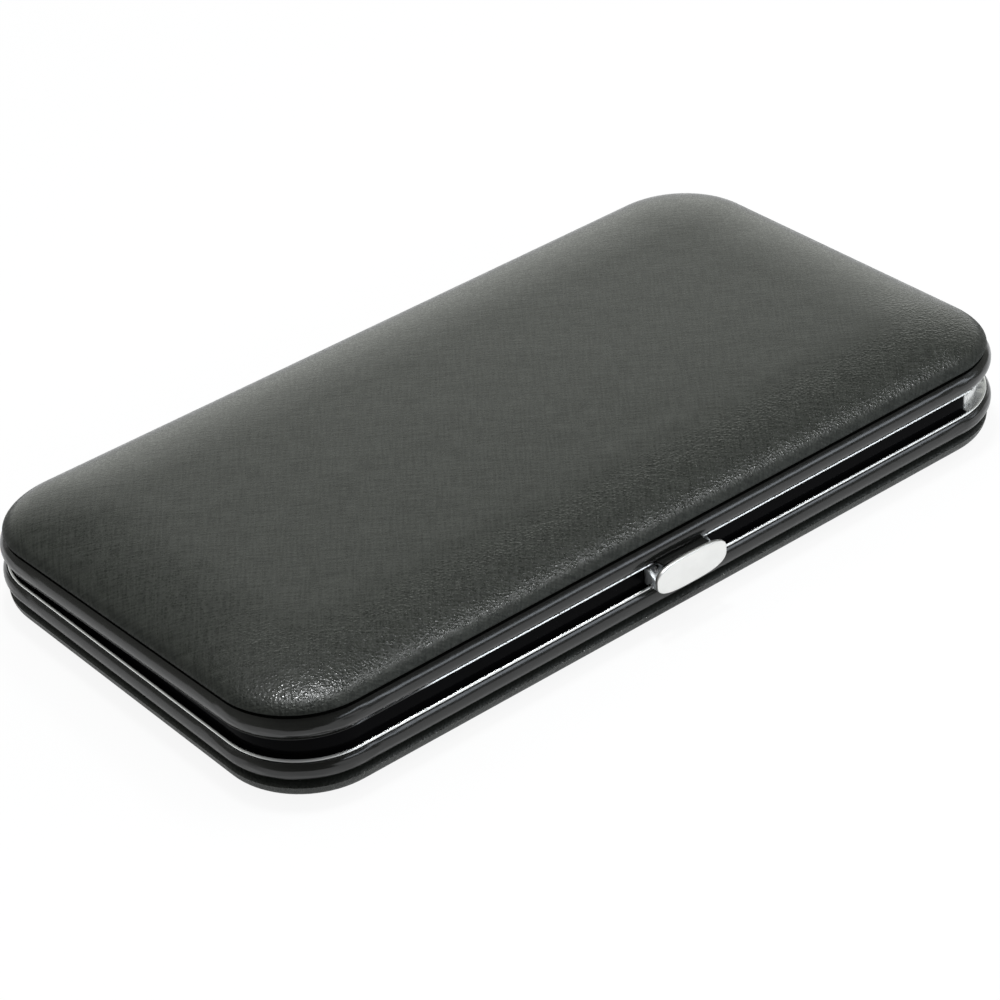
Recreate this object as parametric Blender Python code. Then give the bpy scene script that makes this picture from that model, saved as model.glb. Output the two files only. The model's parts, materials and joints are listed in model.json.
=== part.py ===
"""Hard-frame tweezer case: two padded leather halves in black beaded frames, hinged at the back.

Metres, +Z up. The case lies along X, its clasp faces -Y and its hinges are at +Y.
The origin is the middle of the flat face that it rests on. The lid stands a little ajar,
held by the clasp, and that is the rest position of every joint.
"""

import math

import bmesh
import bpy
from mathutils import Matrix

# Outline, over the widest line of the base bead
LENGTH = 0.175
WIDTH = 0.0946
CORNER_R = 0.0163
CORNER_EASE = 0.6  # how much of an inset the corner radius loses
CORNER_STEPS = 7
LEAST_R = 0.001

# Padded crowns above the lid and below the base, which is fuller at its edge
CROWN_H = 0.00573
CROWN_RUN = 0.0217
LID_CROWN_POWER = 2.19
BASE_CROWN_POWER = 4.2
CROWN_START = 0.00055
COVER_STEPS = 7
LAYER_STEPS = 4
LINING_STEPS = 3

# Layers of each half, from the outside in
LAYER_GAP = 0.00025
LEATHER = 0.0007
FOAM = 0.0012
BOARD = 0.001
MAGNET = 0.0005
LINING = 0.0005
MAGNET_INSET = 0.016

# Base bead and its bottom web
BASE_BEAD_H = 0.00417
BASE_SEAM_INSET = 0.00035
BASE_TOP_INSET = 0.0006
BEAD_WALL = 0.0006
WEB = 0.0005
WEB_REACH = 0.005
HEM_PAST_WEB = 0.0002

# Lid bead
LID_BEAD_H = 0.00404
LID_SEAM_INSET = 0.00121
LID_EDGE_INSET = 0.00107
LID_BULGE_INSET = 0.0001
LID_FLANGE_CLEARANCE = 0.00065  # to the standing lip, for the lid's swing

# Inner rim: a folded strip with an edge flange and a standing lip
RIM_EDGE_INSET = 0.0008
RIM_FLANGE = 0.0005
LIP_INSET = 0.00205
LIP = 0.0006
LIP_H = 0.0039

# Hinges
LID_TILT = 2.1  # degrees
HINGE_SPREAD = 0.045
HINGE_LENGTH = 0.02
LID_KNUCKLE = 0.0061
KNUCKLE_R = 0.0013
LEAF = 0.0006
LEAF_REACH = 0.0042
CURL_TURN = 280  # degrees
CURL_STEPS = 10
HINGE_STANDOFF = 0.0003
HINGE_RISE = 0.00037  # axis above the rim
LID_OVER_AXIS = 0.000367  # lid edge above the axis
KNUCKLE_GAP = 0.0003
PIN_CLEARANCE = 0.0001
RIVET_SPREAD = 0.006
RIVET_R = 0.00045
RIVET_HEAD_R = 0.0009
RIVET_HEAD_H = 0.00045
RIVET_CLEARANCE = 0.0001

# Clasp, measured outwards from the rim's edge and up from the rim
CLASP_PIN_OUT = 0.00105
CLASP_PIN_UP = 0.0009
CLASP_PIN_R = 0.0003
BRACKET_WIDTH = 0.0144
BRACKET_WALL = 0.0005
BRACKET_CHEEK = 0.0008
BRACKET_DEPTH = 0.0022
BRACKET_LIFT = 0.0003
BRACKET_H = 0.0033
CHEEK_NOSE_H = 0.00165  # height of the cheek's front edge, under its slope
CHEEK_TOP_DEPTH = 0.0005  # of the cheek's flat top, from its back
ARM_WIDTH = 0.0068
ARM_LEG = 0.00055
ARM_H = 0.0029
ARM_WEB = 0.0012
ARM_FOOT_DROP = 0.0006
NOSE = 0.0003
NOSE_TOP = 0.00045  # below the top of the arm
NOSE_H = 0.0003
NOSE_SLOPE = 0.00015
BUTTON_WIDTH = 0.0163
BUTTON_HEIGHT = 0.0063
BUTTON_THICK = 0.0009
BUTTON_UP = 0.0025
BUTTON_OUT = 0.0036
BUTTON_POWER = 3.0
CATCH_WIDTH = 0.0107
CATCH = 0.00045
CATCH_DROP = 0.0024
CATCH_FOOT_OUT = -0.00055
CATCH_OVER_EDGE = 0.00015
NOTCH_OUT = 0.001
NOTCH_BELOW = 0.0005
SPRING_WIRE = 0.00024
SPRING_TURNS = 4

# Heights that follow
SEAM_Z = CROWN_H
RIM_Z = SEAM_Z + BASE_BEAD_H
AXIS_Y = WIDTH / 2 + HINGE_STANDOFF + KNUCKLE_R
AXIS_Z = RIM_Z + HINGE_RISE
LID_Z = AXIS_Z + LID_OVER_AXIS
LID_SEAM_Z = LID_Z + LID_BEAD_H


def clear_scene():
    for obj in list(bpy.data.objects):
        bpy.data.objects.remove(obj, do_unlink=True)


def finish_of(name, colour, roughness, metallic=0.0):
    material = bpy.data.materials.new(name)
    material.use_nodes = True
    shader = material.node_tree.nodes["Principled BSDF"]
    shader.inputs["Base Color"].default_value = (*colour, 1.0)
    shader.inputs["Roughness"].default_value = roughness
    shader.inputs["Metallic"].default_value = metallic
    return material


def mesh_object(name, mesh, material=None, smooth=35):
    """An object for the mesh, with its faces turned outwards."""
    bm = bmesh.new()
    bm.from_mesh(mesh)
    bmesh.ops.recalc_face_normals(bm, faces=bm.faces)
    bm.to_mesh(mesh)
    bm.free()
    mesh.shade_smooth()
    mesh.set_sharp_from_angle(angle=math.radians(smooth))
    obj = bpy.data.objects.new(name, mesh)
    bpy.context.scene.collection.objects.link(obj)
    if material:
        mesh.materials.append(material)
    return obj


def cut(obj, cutter, operation="DIFFERENCE"):
    """Cuts the object with a hidden helper, or joins the helper to it."""
    cutter.hide_render = True
    cutter.display_type = "WIRE"
    boolean = obj.modifiers.new(cutter.name, "BOOLEAN")
    boolean.operation = operation
    boolean.object = cutter
    cutter.parent = obj.parent
    cutter.location = obj.location


def hang(obj, pivot):
    """Parents an object, drawn where it lies when the case is shut flat, to its joint's empty."""
    obj.parent = pivot
    obj.location = -pivot.location
    return obj


def outline(inset):
    """The case's plan, this far inside its widest line."""
    radius = max(CORNER_R - CORNER_EASE * inset, LEAST_R)
    centre_x = LENGTH / 2 - inset - radius
    centre_y = WIDTH / 2 - inset - radius
    corners = [(1, 1, 0), (-1, 1, 90), (-1, -1, 180), (1, -1, 270)]
    points = []
    for side_x, side_y, start in corners:
        for step in range(CORNER_STEPS + 1):
            angle = math.radians(start + 90 * step / CORNER_STEPS)
            x = side_x * centre_x + radius * math.cos(angle)
            y = side_y * centre_y + radius * math.sin(angle)
            points.append((x, y))
    return points


def swept(name, profile, closed):
    """A mesh from (inset, z) points taken round the outline: a ring, or a dish with its two ends filled."""
    bm = bmesh.new()
    rings = []
    for inset, z in profile:
        rings.append([bm.verts.new((x, y, z)) for x, y in outline(inset)])
    pairs = list(zip(rings, rings[1:]))
    if closed:
        pairs.append((rings[-1], rings[0]))
    for first, second in pairs:
        count = len(first)
        for i in range(count):
            j = (i + 1) % count
            bm.faces.new((first[i], first[j], second[j], second[i]))
    if not closed:
        bm.faces.new(rings[0])
        bm.faces.new(rings[-1])
    mesh = bpy.data.meshes.new(name)
    bm.to_mesh(mesh)
    bm.free()
    return mesh


def prism(name, section, low, high, axis="X"):
    """A mesh from a closed section pushed from low to high: (y, z) along X or (x, y) along Z."""
    bm = bmesh.new()
    ends = []
    for along in (low, high):
        if axis == "X":
            ends.append([bm.verts.new((along, a, b)) for a, b in section])
        else:
            ends.append([bm.verts.new((a, b, along)) for a, b in section])
    count = len(section)
    for i in range(count):
        j = (i + 1) % count
        bm.faces.new((ends[0][i], ends[0][j], ends[1][j], ends[1][i]))
    bm.faces.new(ends[0])
    bm.faces.new(ends[1])
    mesh = bpy.data.meshes.new(name)
    bm.to_mesh(mesh)
    bm.free()
    return mesh


def turned(name, profile, place, axis, steps=10):
    """A mesh from (radius, height) points turned about an axis through place, with its two ends closed."""
    turn = {
        "X": Matrix.Rotation(math.pi / 2, 4, "Y"),
        "Y": Matrix.Rotation(-math.pi / 2, 4, "X"),
        "-Y": Matrix.Rotation(math.pi / 2, 4, "X"),
        "Z": Matrix(),
        "-Z": Matrix.Rotation(math.pi, 4, "X"),
    }
    bm = bmesh.new()
    rings = []
    for radius, height in profile:
        ring = []
        for step in range(steps):
            angle = 2 * math.pi * (step + 0.5) / steps
            ring.append(bm.verts.new((radius * math.cos(angle), radius * math.sin(angle), height)))
        rings.append(ring)
    for first, second in zip(rings, rings[1:]):
        for i in range(steps):
            j = (i + 1) % steps
            bm.faces.new((first[i], first[j], second[j], second[i]))
    bm.faces.new(rings[0])
    bm.faces.new(rings[-1])
    bmesh.ops.transform(bm, matrix=Matrix.Translation(place) @ turn[axis], verts=bm.verts)
    mesh = bpy.data.meshes.new(name)
    bm.to_mesh(mesh)
    bm.free()
    return mesh


def drill(obj, name, place, axis, radius, length, steps=10):
    """A round hole of this length, centred on place."""
    profile = [(radius, -length / 2), (radius, length / 2)]
    cut(obj, mesh_object(name, turned(name, profile, place, axis, steps)))


def box(name, low, high):
    section = [(low[1], low[2]), (high[1], low[2]), (high[1], high[2]), (low[1], high[2])]
    return mesh_object(name, prism(name, section, low[0], high[0]))


def crown_point(depth, angle, fullness):
    """(inset, height over the seam) on the crown, or on a layer this deep inside it."""
    power = 2 / fullness
    inset = CROWN_START + depth + (CROWN_RUN - depth) * (1 - math.cos(angle) ** power)
    return inset, (CROWN_H - depth) * math.sin(angle) ** power


def crown_arc(depth, steps, fullness, height=None, inset=None):
    """Points up the crown, from a height or an inset near the seam to the flat top."""
    if height is not None:
        start = math.asin((height / (CROWN_H - depth)) ** (fullness / 2))
    else:
        share = (inset - CROWN_START - depth) / (CROWN_RUN - depth)
        start = math.acos((1 - share) ** (fullness / 2))
    angles = [start + (math.pi / 2 - start) * (step / steps) ** 1.3 for step in range(steps)]
    points = [crown_point(depth, angle, fullness) for angle in angles]
    return points + [(CROWN_START + CROWN_RUN, CROWN_H - depth)]


def depth_of(layers):
    """How deep a layer starts, when this many thicknesses lie over it with a gap after each."""
    return sum(layers) + LAYER_GAP * len(layers)


HEM_BOTTOM = LAYER_GAP
HEM_TOP = HEM_BOTTOM + LEATHER
HEM_REACH = WEB_REACH + HEM_PAST_WEB
LAYER_RIM = HEM_TOP + LAYER_GAP


def cover_profile(fullness):
    """The leather: over the crown, round the edge and turned in under the board as a hem."""
    outer = crown_arc(0, COVER_STEPS, fullness, height=HEM_TOP * 0.6)
    inner = crown_arc(LEATHER, LAYER_STEPS, fullness, height=HEM_TOP)
    edge = outer[0][0]
    hem = [
        (edge + LEATHER * 0.25, HEM_BOTTOM + LEATHER * 0.15),
        (edge + LEATHER * 0.7, HEM_BOTTOM),
        (HEM_REACH, HEM_BOTTOM),
        (HEM_REACH, HEM_TOP),
    ]
    return outer[::-1] + hem + inner


def layer_profile(over, thick, fullness):
    depth = depth_of(over)
    outer = crown_arc(depth, LAYER_STEPS, fullness, height=LAYER_RIM)
    inner = crown_arc(depth + thick, LAYER_STEPS, fullness, height=LAYER_RIM)
    return outer[::-1] + inner


def magnet_profile():
    low = depth_of([LEATHER, FOAM, BOARD]) + MAGNET
    bottom, top = CROWN_H - low, CROWN_H - low + MAGNET
    return [(MAGNET_INSET, top), (MAGNET_INSET, bottom)]


def lining_profile(flange_inset, fullness):
    """The velvet tray: a dish inside the board, with a wall and a flange that covers the frame's web."""
    depth = depth_of([LEATHER, FOAM, BOARD, MAGNET])
    wall = HEM_REACH + LAYER_GAP
    outer = crown_arc(depth, LINING_STEPS, fullness, inset=wall)
    inner = crown_arc(depth + LINING, LINING_STEPS, fullness, inset=wall + LINING)
    flange_top = -WEB - LAYER_GAP
    flange = [
        (wall, flange_top),
        (flange_inset, flange_top),
        (flange_inset, flange_top - LINING),
        (wall + LINING, flange_top - LINING),
    ]
    return outer[::-1] + flange + inner


def add_half(half, seam_z, side, frame, flange_inset, finishes):
    """The soft layers of the base (side -1) or the lid (side 1), from the leather in to the lining."""
    fullness = BASE_CROWN_POWER if half == "base" else LID_CROWN_POWER
    layers = {
        "leather_cover": cover_profile(fullness),
        "foam_pad": layer_profile([LEATHER], FOAM, fullness),
        "board": layer_profile([LEATHER, FOAM], BOARD, fullness),
        "magnet_sheet": magnet_profile(),
        "lining": lining_profile(flange_inset, fullness),
    }
    parts = []
    for layer, profile in layers.items():
        name = f"{half}_{layer}"
        placed = [(inset, seam_z + side * height) for inset, height in profile]
        parts.append(mesh_object(name, swept(name, placed, closed=False), finishes[layer]))
    parts.append(frame)
    return parts


def bead(edge, bulge, seam, start, end, steps=5):
    """(inset, z) points of a rounded bead from its free edge to its seam."""
    points = []
    for step in range(steps + 1):
        u = -1 + 2 * step / steps
        reach = edge if u < 0 else seam
        points.append((bulge + (reach - bulge) * abs(u) ** 2.2, start + (end - start) * step / steps))
    return points


def frame_profile(edge, bulge, seam, start, end):
    """A bead rolled from one strip, with a web turned in at its seam."""
    outer = bead(edge, bulge, seam, start, end)
    inner = [(inset + BEAD_WALL, z) for inset, z in outer]
    turn = WEB if end < start else -WEB
    web = [(WEB_REACH, end), (WEB_REACH, end + turn), (inner[-1][0], end + turn)]
    kept = [point for point in inner[:-1] if abs(point[1] - end) > WEB]
    return outer + web + kept[::-1]


def rim_profile():
    lip_in = LIP_INSET + LIP
    top = RIM_Z + LIP_H
    foot = SEAM_Z + WEB + LAYER_GAP
    low = RIM_Z - RIM_FLANGE
    soft = 0.3 * RIM_FLANGE
    return [
        (lip_in, foot),
        (lip_in, top),
        (LIP_INSET, top),
        (LIP_INSET, RIM_Z),
        (RIM_EDGE_INSET + 2 * soft, RIM_Z),
        (RIM_EDGE_INSET + soft / 2, RIM_Z - soft),
        (RIM_EDGE_INSET, RIM_Z - 2 * soft),
        (RIM_EDGE_INSET + soft, low),
        (LIP_INSET, low),
        (LIP_INSET, foot),
    ]


def leaf_section(side):
    """(y, z) of a flat leaf that rolls into a knuckle, up from the base (side -1) or down from the lid."""
    bore = KNUCKLE_R - LEAF
    angles = [math.radians(180 - CURL_TURN * step / CURL_STEPS) for step in range(CURL_STEPS + 1)]
    outer = [(KNUCKLE_R * math.cos(a), KNUCKLE_R * math.sin(a)) for a in angles]
    inner = [(bore * math.cos(a), bore * math.sin(a)) for a in reversed(angles)]
    section = [(-KNUCKLE_R, -LEAF_REACH)] + outer + inner + [(-bore, -LEAF_REACH)]
    return [(AXIS_Y + y, AXIS_Z - side * z) for y, z in section]


def add_leaf(name, x, side, material, pivot=None):
    plate = prism(name, leaf_section(side), x - HINGE_LENGTH / 2, x + HINGE_LENGTH / 2)
    leaf = mesh_object(name, plate, material)
    if pivot:
        hang(leaf, pivot)
    clear = KNUCKLE_R + KNUCKLE_GAP
    far = LEAF_REACH + KNUCKLE_R
    slots = []
    if side < 0:
        half = LID_KNUCKLE / 2 + KNUCKLE_GAP
        slots.append((x - half, x + half))
    else:
        half = LID_KNUCKLE / 2
        slots.append((x - HINGE_LENGTH, x - half))
        slots.append((x + half, x + HINGE_LENGTH))
    for i, (low, high) in enumerate(slots):
        z = sorted((AXIS_Z + side * clear, AXIS_Z - side * far))
        cut(leaf, box(f"{name}_slot_{i}", (low, AXIS_Y - far, z[0]), (high, AXIS_Y + far, z[1])))
    return leaf


def rivet_profile(grip, head_r=RIVET_HEAD_R):
    """A domed head at the top, a shank through the grip and an upset tail, along the rivet's axis."""
    tail_r = RIVET_R + RIVET_CLEARANCE * 2
    gap = RIVET_CLEARANCE
    return [
        (tail_r, -grip - gap - RIVET_HEAD_H / 2),
        (tail_r, -grip - gap),
        (RIVET_R, -grip - gap),
        (RIVET_R, gap),
        (head_r, gap),
        (head_r * 0.85, gap + RIVET_HEAD_H * 0.6),
        (head_r * 0.4, gap + RIVET_HEAD_H),
    ]


def add_hinge(side_name, x, base_frame, lid_frame, lid, finishes):
    """Two rolled leaves, a headed pin and two rivets in each leaf."""
    base_leaf = add_leaf(f"hinge_{side_name}_base_leaf", x, -1, finishes["hinge"])
    lid_leaf = add_leaf(f"hinge_{side_name}_lid_leaf", x, 1, finishes["hinge"], lid)
    pin_r = KNUCKLE_R - LEAF - PIN_CLEARANCE
    half = HINGE_LENGTH / 2 + KNUCKLE_GAP / 2
    head = [(KNUCKLE_R * 0.8, half + RIVET_HEAD_H), (KNUCKLE_R * 0.8, half)]
    profile = [(r, -z) for r, z in head] + [(pin_r, -half), (pin_r, half)] + head[::-1]
    name = f"hinge_{side_name}_pin"
    mesh_object(name, turned(name, profile, (x, AXIS_Y, AXIS_Z), "X"), finishes["steel"])
    leaf_outer = AXIS_Y - KNUCKLE_R + LEAF
    grip = LEAF + HINGE_STANDOFF + BEAD_WALL
    base_z = SEAM_Z + (BASE_BEAD_H - RIM_FLANGE - LAYER_GAP) / 2
    rows = [
        ("base", base_leaf, base_frame, base_z, grip, None),
        ("lid", lid_leaf, lid_frame, LID_Z + LID_BEAD_H / 2, grip + LID_BULGE_INSET, lid),
    ]
    for half_name, leaf, frame, z, grip, pivot in rows:
        for which, offset in (("outer", 1), ("inner", -1)):
            rivet_x = x + math.copysign(RIVET_SPREAD, x) * offset
            place = (rivet_x, leaf_outer, z)
            name = f"hinge_{side_name}_{half_name}_rivet_{which}"
            rivet = mesh_object(name, turned(name, rivet_profile(grip), place, "Y"), finishes["steel"])
            if pivot:
                hang(rivet, pivot)
            hole = RIVET_R + RIVET_CLEARANCE
            middle = (rivet_x, leaf_outer - grip / 2, z)
            drill(leaf, f"{name}_leaf_hole", middle, "Y", hole, 2 * grip)
            drill(frame, f"{name}_frame_hole", middle, "Y", hole, 2 * grip)


def front(out):
    """The y of a place this far in front of the rim's edge."""
    return -(WIDTH / 2 - RIM_EDGE_INSET) - out


def add_bracket(rim, finishes):
    """A channel riveted to the lip, open to the front, whose cheeks hold the clasp's pin."""
    half = BRACKET_WIDTH / 2
    back = front(-(LIP_INSET - RIM_EDGE_INSET) + LAYER_GAP)
    inside = back - BRACKET_WALL
    nose = front(BRACKET_DEPTH)
    inner = half - BRACKET_CHEEK
    plan = [
        (-half, back),
        (half, back),
        (half, nose),
        (inner, nose),
        (inner, inside),
        (-inner, inside),
        (-inner, nose),
        (-half, nose),
    ]
    low = RIM_Z + BRACKET_LIFT
    name = "clasp_bracket"
    bracket = mesh_object(name, prism(name, plan, low, low + BRACKET_H, "Z"), finishes["clasp"])
    slope = [
        (nose, low + CHEEK_NOSE_H),
        (back - CHEEK_TOP_DEPTH, low + BRACKET_H),
        (back - CHEEK_TOP_DEPTH, low + 2 * BRACKET_H),
        (nose - BRACKET_H, low + 2 * BRACKET_H),
        (nose - BRACKET_H, low + CHEEK_NOSE_H),
    ]
    cut(bracket, mesh_object("cheek_slope", prism("cheek_slope", slope, -BRACKET_WIDTH, BRACKET_WIDTH)))
    pin_place = (0, front(CLASP_PIN_OUT), RIM_Z + CLASP_PIN_UP)
    drill(bracket, "bracket_pin_hole", pin_place, "X", CLASP_PIN_R + PIN_CLEARANCE, 2 * BRACKET_WIDTH)
    grip = BRACKET_WALL + LAYER_GAP + LIP
    rivet_x = (ARM_WIDTH / 2 + inner) / 2
    rivet_z = low + BRACKET_H - RIVET_HEAD_R
    for side_name, side in (("left", -1), ("right", 1)):
        place = (side * rivet_x, inside, rivet_z)
        name = f"clasp_bracket_rivet_{side_name}"
        profile = rivet_profile(grip, RIVET_HEAD_R * 0.8)
        mesh_object(name, turned(name, profile, place, "-Y"), finishes["steel"])
        middle = (side * rivet_x, inside + grip / 2, rivet_z)
        hole = RIVET_R + RIVET_CLEARANCE
        drill(bracket, f"{name}_wall_hole", middle, "Y", hole, 2 * grip)
        drill(rim, f"{name}_lip_hole", middle, "Y", hole, 2 * grip)


def add_clasp_pin(finishes):
    half = BRACKET_WIDTH / 2 + KNUCKLE_GAP / 2
    place = (0, front(CLASP_PIN_OUT), RIM_Z + CLASP_PIN_UP)
    head = [(CLASP_PIN_R * 1.8, half + CLASP_PIN_R), (CLASP_PIN_R * 1.8, half)]
    profile = [(r, -z) for r, z in head] + [(CLASP_PIN_R, -half), (CLASP_PIN_R, half)] + head[::-1]
    mesh_object("clasp_pin", turned("clasp_pin", profile, place, "X"), finishes["steel"])


def add_spacer(finishes):
    """A sleeve on the pin that keeps the arm in the middle, on the side without the spring."""
    low = ARM_WIDTH / 2 + KNUCKLE_GAP
    high = BRACKET_WIDTH / 2 - BRACKET_CHEEK - KNUCKLE_GAP
    radius = CLASP_PIN_R * 2.2
    place = (0, front(CLASP_PIN_OUT), RIM_Z + CLASP_PIN_UP)
    spacer = mesh_object(
        "clasp_spacer",
        turned("clasp_spacer", [(radius, low), (radius, high)], place, "X"),
        finishes["steel"],
    )
    drill(spacer, "spacer_bore", place, "X", CLASP_PIN_R + PIN_CLEARANCE, 2 * BRACKET_WIDTH)


def add_spring(finishes):
    """A torsion spring round the pin: its legs stand against the bracket and behind the arm."""
    low = BRACKET_WIDTH / 2 - BRACKET_CHEEK - KNUCKLE_GAP - SPRING_WIRE / 2
    high = ARM_WIDTH / 2 + KNUCKLE_GAP + SPRING_WIRE
    radius = CLASP_PIN_R + PIN_CLEARANCE + SPRING_WIRE
    centre_y, centre_z = front(CLASP_PIN_OUT), RIM_Z + CLASP_PIN_UP
    leg_z = centre_z + CLASP_PIN_R * 5
    wall_y = front(-(LIP_INSET - RIM_EDGE_INSET) + LAYER_GAP) - BRACKET_WALL
    arm_back = front(CLASP_PIN_OUT - ARM_LEG - PIN_CLEARANCE / 2)
    points = [(-low, wall_y - LAYER_GAP - SPRING_WIRE / 2, leg_z)]
    count = SPRING_TURNS * 10
    for step in range(count + 1):
        angle = 2 * math.pi * step / 10
        x = -low + (low - high) * step / count
        points.append((x, centre_y + radius * math.cos(angle), centre_z - radius * math.sin(angle)))
    leg_y = (arm_back + wall_y) / 2
    points.append((-high, leg_y, leg_z))
    points.append((-ARM_WIDTH / 4, leg_y, leg_z + SPRING_WIRE))
    curve = bpy.data.curves.new("clasp_spring", "CURVE")
    curve.dimensions = "3D"
    curve.bevel_depth = SPRING_WIRE / 2
    curve.bevel_resolution = 1
    curve.use_fill_caps = True
    spline = curve.splines.new("POLY")
    spline.points.add(len(points) - 1)
    for point, place in zip(spline.points, points):
        point.co = (*place, 1.0)
    curve.materials.append(finishes["steel"])
    obj = bpy.data.objects.new("clasp_spring", curve)
    bpy.context.scene.collection.objects.link(obj)


def add_arm(pivot, finishes):
    """The rocking arm: a foot that carries the button, a web on the pin and a leg with the hook's nose."""
    back = CLASP_PIN_OUT - ARM_LEG - PIN_CLEARANCE / 2
    foot_out = BUTTON_OUT - BUTTON_THICK - KNUCKLE_GAP
    foot_in = foot_out - ARM_LEG
    low = CLASP_PIN_UP - ARM_WEB / 2
    web_top = low + ARM_WEB
    top = low + ARM_H
    leg_out = back + ARM_LEG
    section = [
        (back, low),
        (foot_in, low),
        (foot_in, low - ARM_FOOT_DROP),
        (foot_out, low - ARM_FOOT_DROP),
        (foot_out, web_top),
        (leg_out, web_top),
        (leg_out, top - NOSE_TOP - NOSE_H - NOSE_SLOPE),
        (leg_out + NOSE, top - NOSE_TOP - NOSE_H),
        (leg_out + NOSE, top - NOSE_TOP),
        (leg_out, top),
        (back, top),
    ]
    section = [(front(out), RIM_Z + up) for out, up in section]
    plate = prism("clasp_arm", section, -ARM_WIDTH / 2, ARM_WIDTH / 2)
    arm = hang(mesh_object("clasp_arm", plate, finishes["clasp"]), pivot)
    pin_place = (0, front(CLASP_PIN_OUT), RIM_Z + CLASP_PIN_UP)
    drill(arm, "arm_pin_hole", pin_place, "X", CLASP_PIN_R + PIN_CLEARANCE, 2 * ARM_WIDTH)
    stud = (0, front(foot_out), RIM_Z + stud_up())
    depth = stud_length() + RIVET_CLEARANCE
    drill(arm, "arm_stud_hole", stud, "Y", RIVET_R + RIVET_CLEARANCE, 2 * depth)


def stud_up():
    return CLASP_PIN_UP - ARM_WEB / 2 - ARM_FOOT_DROP / 2 + RIVET_R


def stud_length():
    """How far the button's stud stands in the arm's foot."""
    return ARM_LEG * 0.8


def add_button(pivot, finishes):
    """The oval push button: a flat plate with softened edges and a stud that is set in the arm."""
    back = BUTTON_OUT - BUTTON_THICK
    soft = BUTTON_THICK * 0.3
    rings = [(back, soft), (back + soft, 0), (BUTTON_OUT - soft, 0), (BUTTON_OUT, soft * 1.3)]
    steps = 28
    bm = bmesh.new()
    made = []
    for out, inset in rings:
        ring = []
        for step in range(steps):
            angle = 2 * math.pi * step / steps
            reach_x = math.copysign(abs(math.cos(angle)) ** (2 / BUTTON_POWER), math.cos(angle))
            reach_z = math.copysign(abs(math.sin(angle)) ** (2 / BUTTON_POWER), math.sin(angle))
            x = (BUTTON_WIDTH / 2 - inset) * reach_x
            z = RIM_Z + BUTTON_UP + (BUTTON_HEIGHT / 2 - inset) * reach_z
            ring.append(bm.verts.new((x, front(out), z)))
        made.append(ring)
    for first, second in zip(made, made[1:]):
        for i in range(steps):
            j = (i + 1) % steps
            bm.faces.new((first[i], first[j], second[j], second[i]))
    bm.faces.new(made[0])
    bm.faces.new(made[-1])
    mesh = bpy.data.meshes.new("clasp_button")
    bm.to_mesh(mesh)
    bm.free()
    button = hang(mesh_object("clasp_button", mesh, finishes["button"]), pivot)
    reach = KNUCKLE_GAP + stud_length() - RIVET_CLEARANCE
    profile = [(RIVET_R, -reach), (RIVET_R, soft)]
    place = (0, front(back), RIM_Z + stud_up())
    stud = mesh_object("button_stud", turned("button_stud", profile, place, "-Y"))
    cut(button, stud, "UNION")


def add_catch(lid, lid_frame, finishes):
    """The lid's catch: a strip riveted under the web that comes out under the bead, before the arm."""
    riser = -(LIP_INSET + LIP - RIM_EDGE_INSET) - CATCH
    foot_top = LID_BEAD_H - WEB - KNUCKLE_GAP
    leg = CLASP_PIN_OUT + ARM_LEG + PIN_CLEARANCE / 2
    section = [
        (CATCH_FOOT_OUT, foot_top),
        (riser, foot_top),
        (riser, CATCH_OVER_EDGE),
        (leg, CATCH_OVER_EDGE),
        (leg, -CATCH_DROP),
        (leg + CATCH, -CATCH_DROP),
        (leg + CATCH, CATCH_OVER_EDGE + CATCH),
        (riser + CATCH, CATCH_OVER_EDGE + CATCH),
        (riser + CATCH, foot_top - CATCH),
        (CATCH_FOOT_OUT, foot_top - CATCH),
    ]
    section = [(front(out), LID_Z + up) for out, up in section]
    half = CATCH_WIDTH / 2
    catch = mesh_object("lid_catch", prism("lid_catch", section, -half, half), finishes["catch"])
    hang(catch, lid)
    window = ARM_WIDTH / 2 + KNUCKLE_GAP * 1.5
    cut(
        catch,
        box(
            "catch_window",
            (-window, front(leg + 2 * CATCH), LID_Z - CATCH_DROP + CATCH * 0.6),
            (window, front(leg - CATCH / 2), LID_Z - CATCH_DROP * 0.45),
        ),
    )
    grip = CATCH + KNUCKLE_GAP + WEB
    rivet_y = front((riser + CATCH + CATCH_FOOT_OUT) / 2)
    for side_name, side in (("left", -1), ("right", 1)):
        place = (side * CATCH_WIDTH / 4, rivet_y, LID_Z + foot_top - CATCH)
        name = f"lid_catch_rivet_{side_name}"
        profile = rivet_profile(grip - 2 * RIVET_CLEARANCE, RIVET_HEAD_R * 0.6)[2:]
        rivet = mesh_object(name, turned(name, profile, place, "-Z"), finishes["steel"])
        hang(rivet, lid)
        middle = (place[0], rivet_y, place[2] + grip / 2)
        hole = RIVET_R + RIVET_CLEARANCE
        drill(catch, f"{name}_catch_hole", middle, "Z", hole, 2 * grip)
        drill(lid_frame, f"{name}_web_hole", middle, "Z", hole, 2 * grip)
    half += KNUCKLE_GAP
    notch = box(
        "lid_frame_notch",
        (-half, front(NOTCH_OUT), LID_Z - NOTCH_BELOW),
        (half, front(-LIP_INSET), LID_Z + CATCH_OVER_EDGE + CATCH + KNUCKLE_GAP),
    )
    cut(lid_frame, notch)


def pivot_at(name, place, tilt=0.0):
    empty = bpy.data.objects.new(name, None)
    bpy.context.scene.collection.objects.link(empty)
    empty.location = place
    empty.rotation_euler = (tilt, 0, 0)
    return empty


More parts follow.
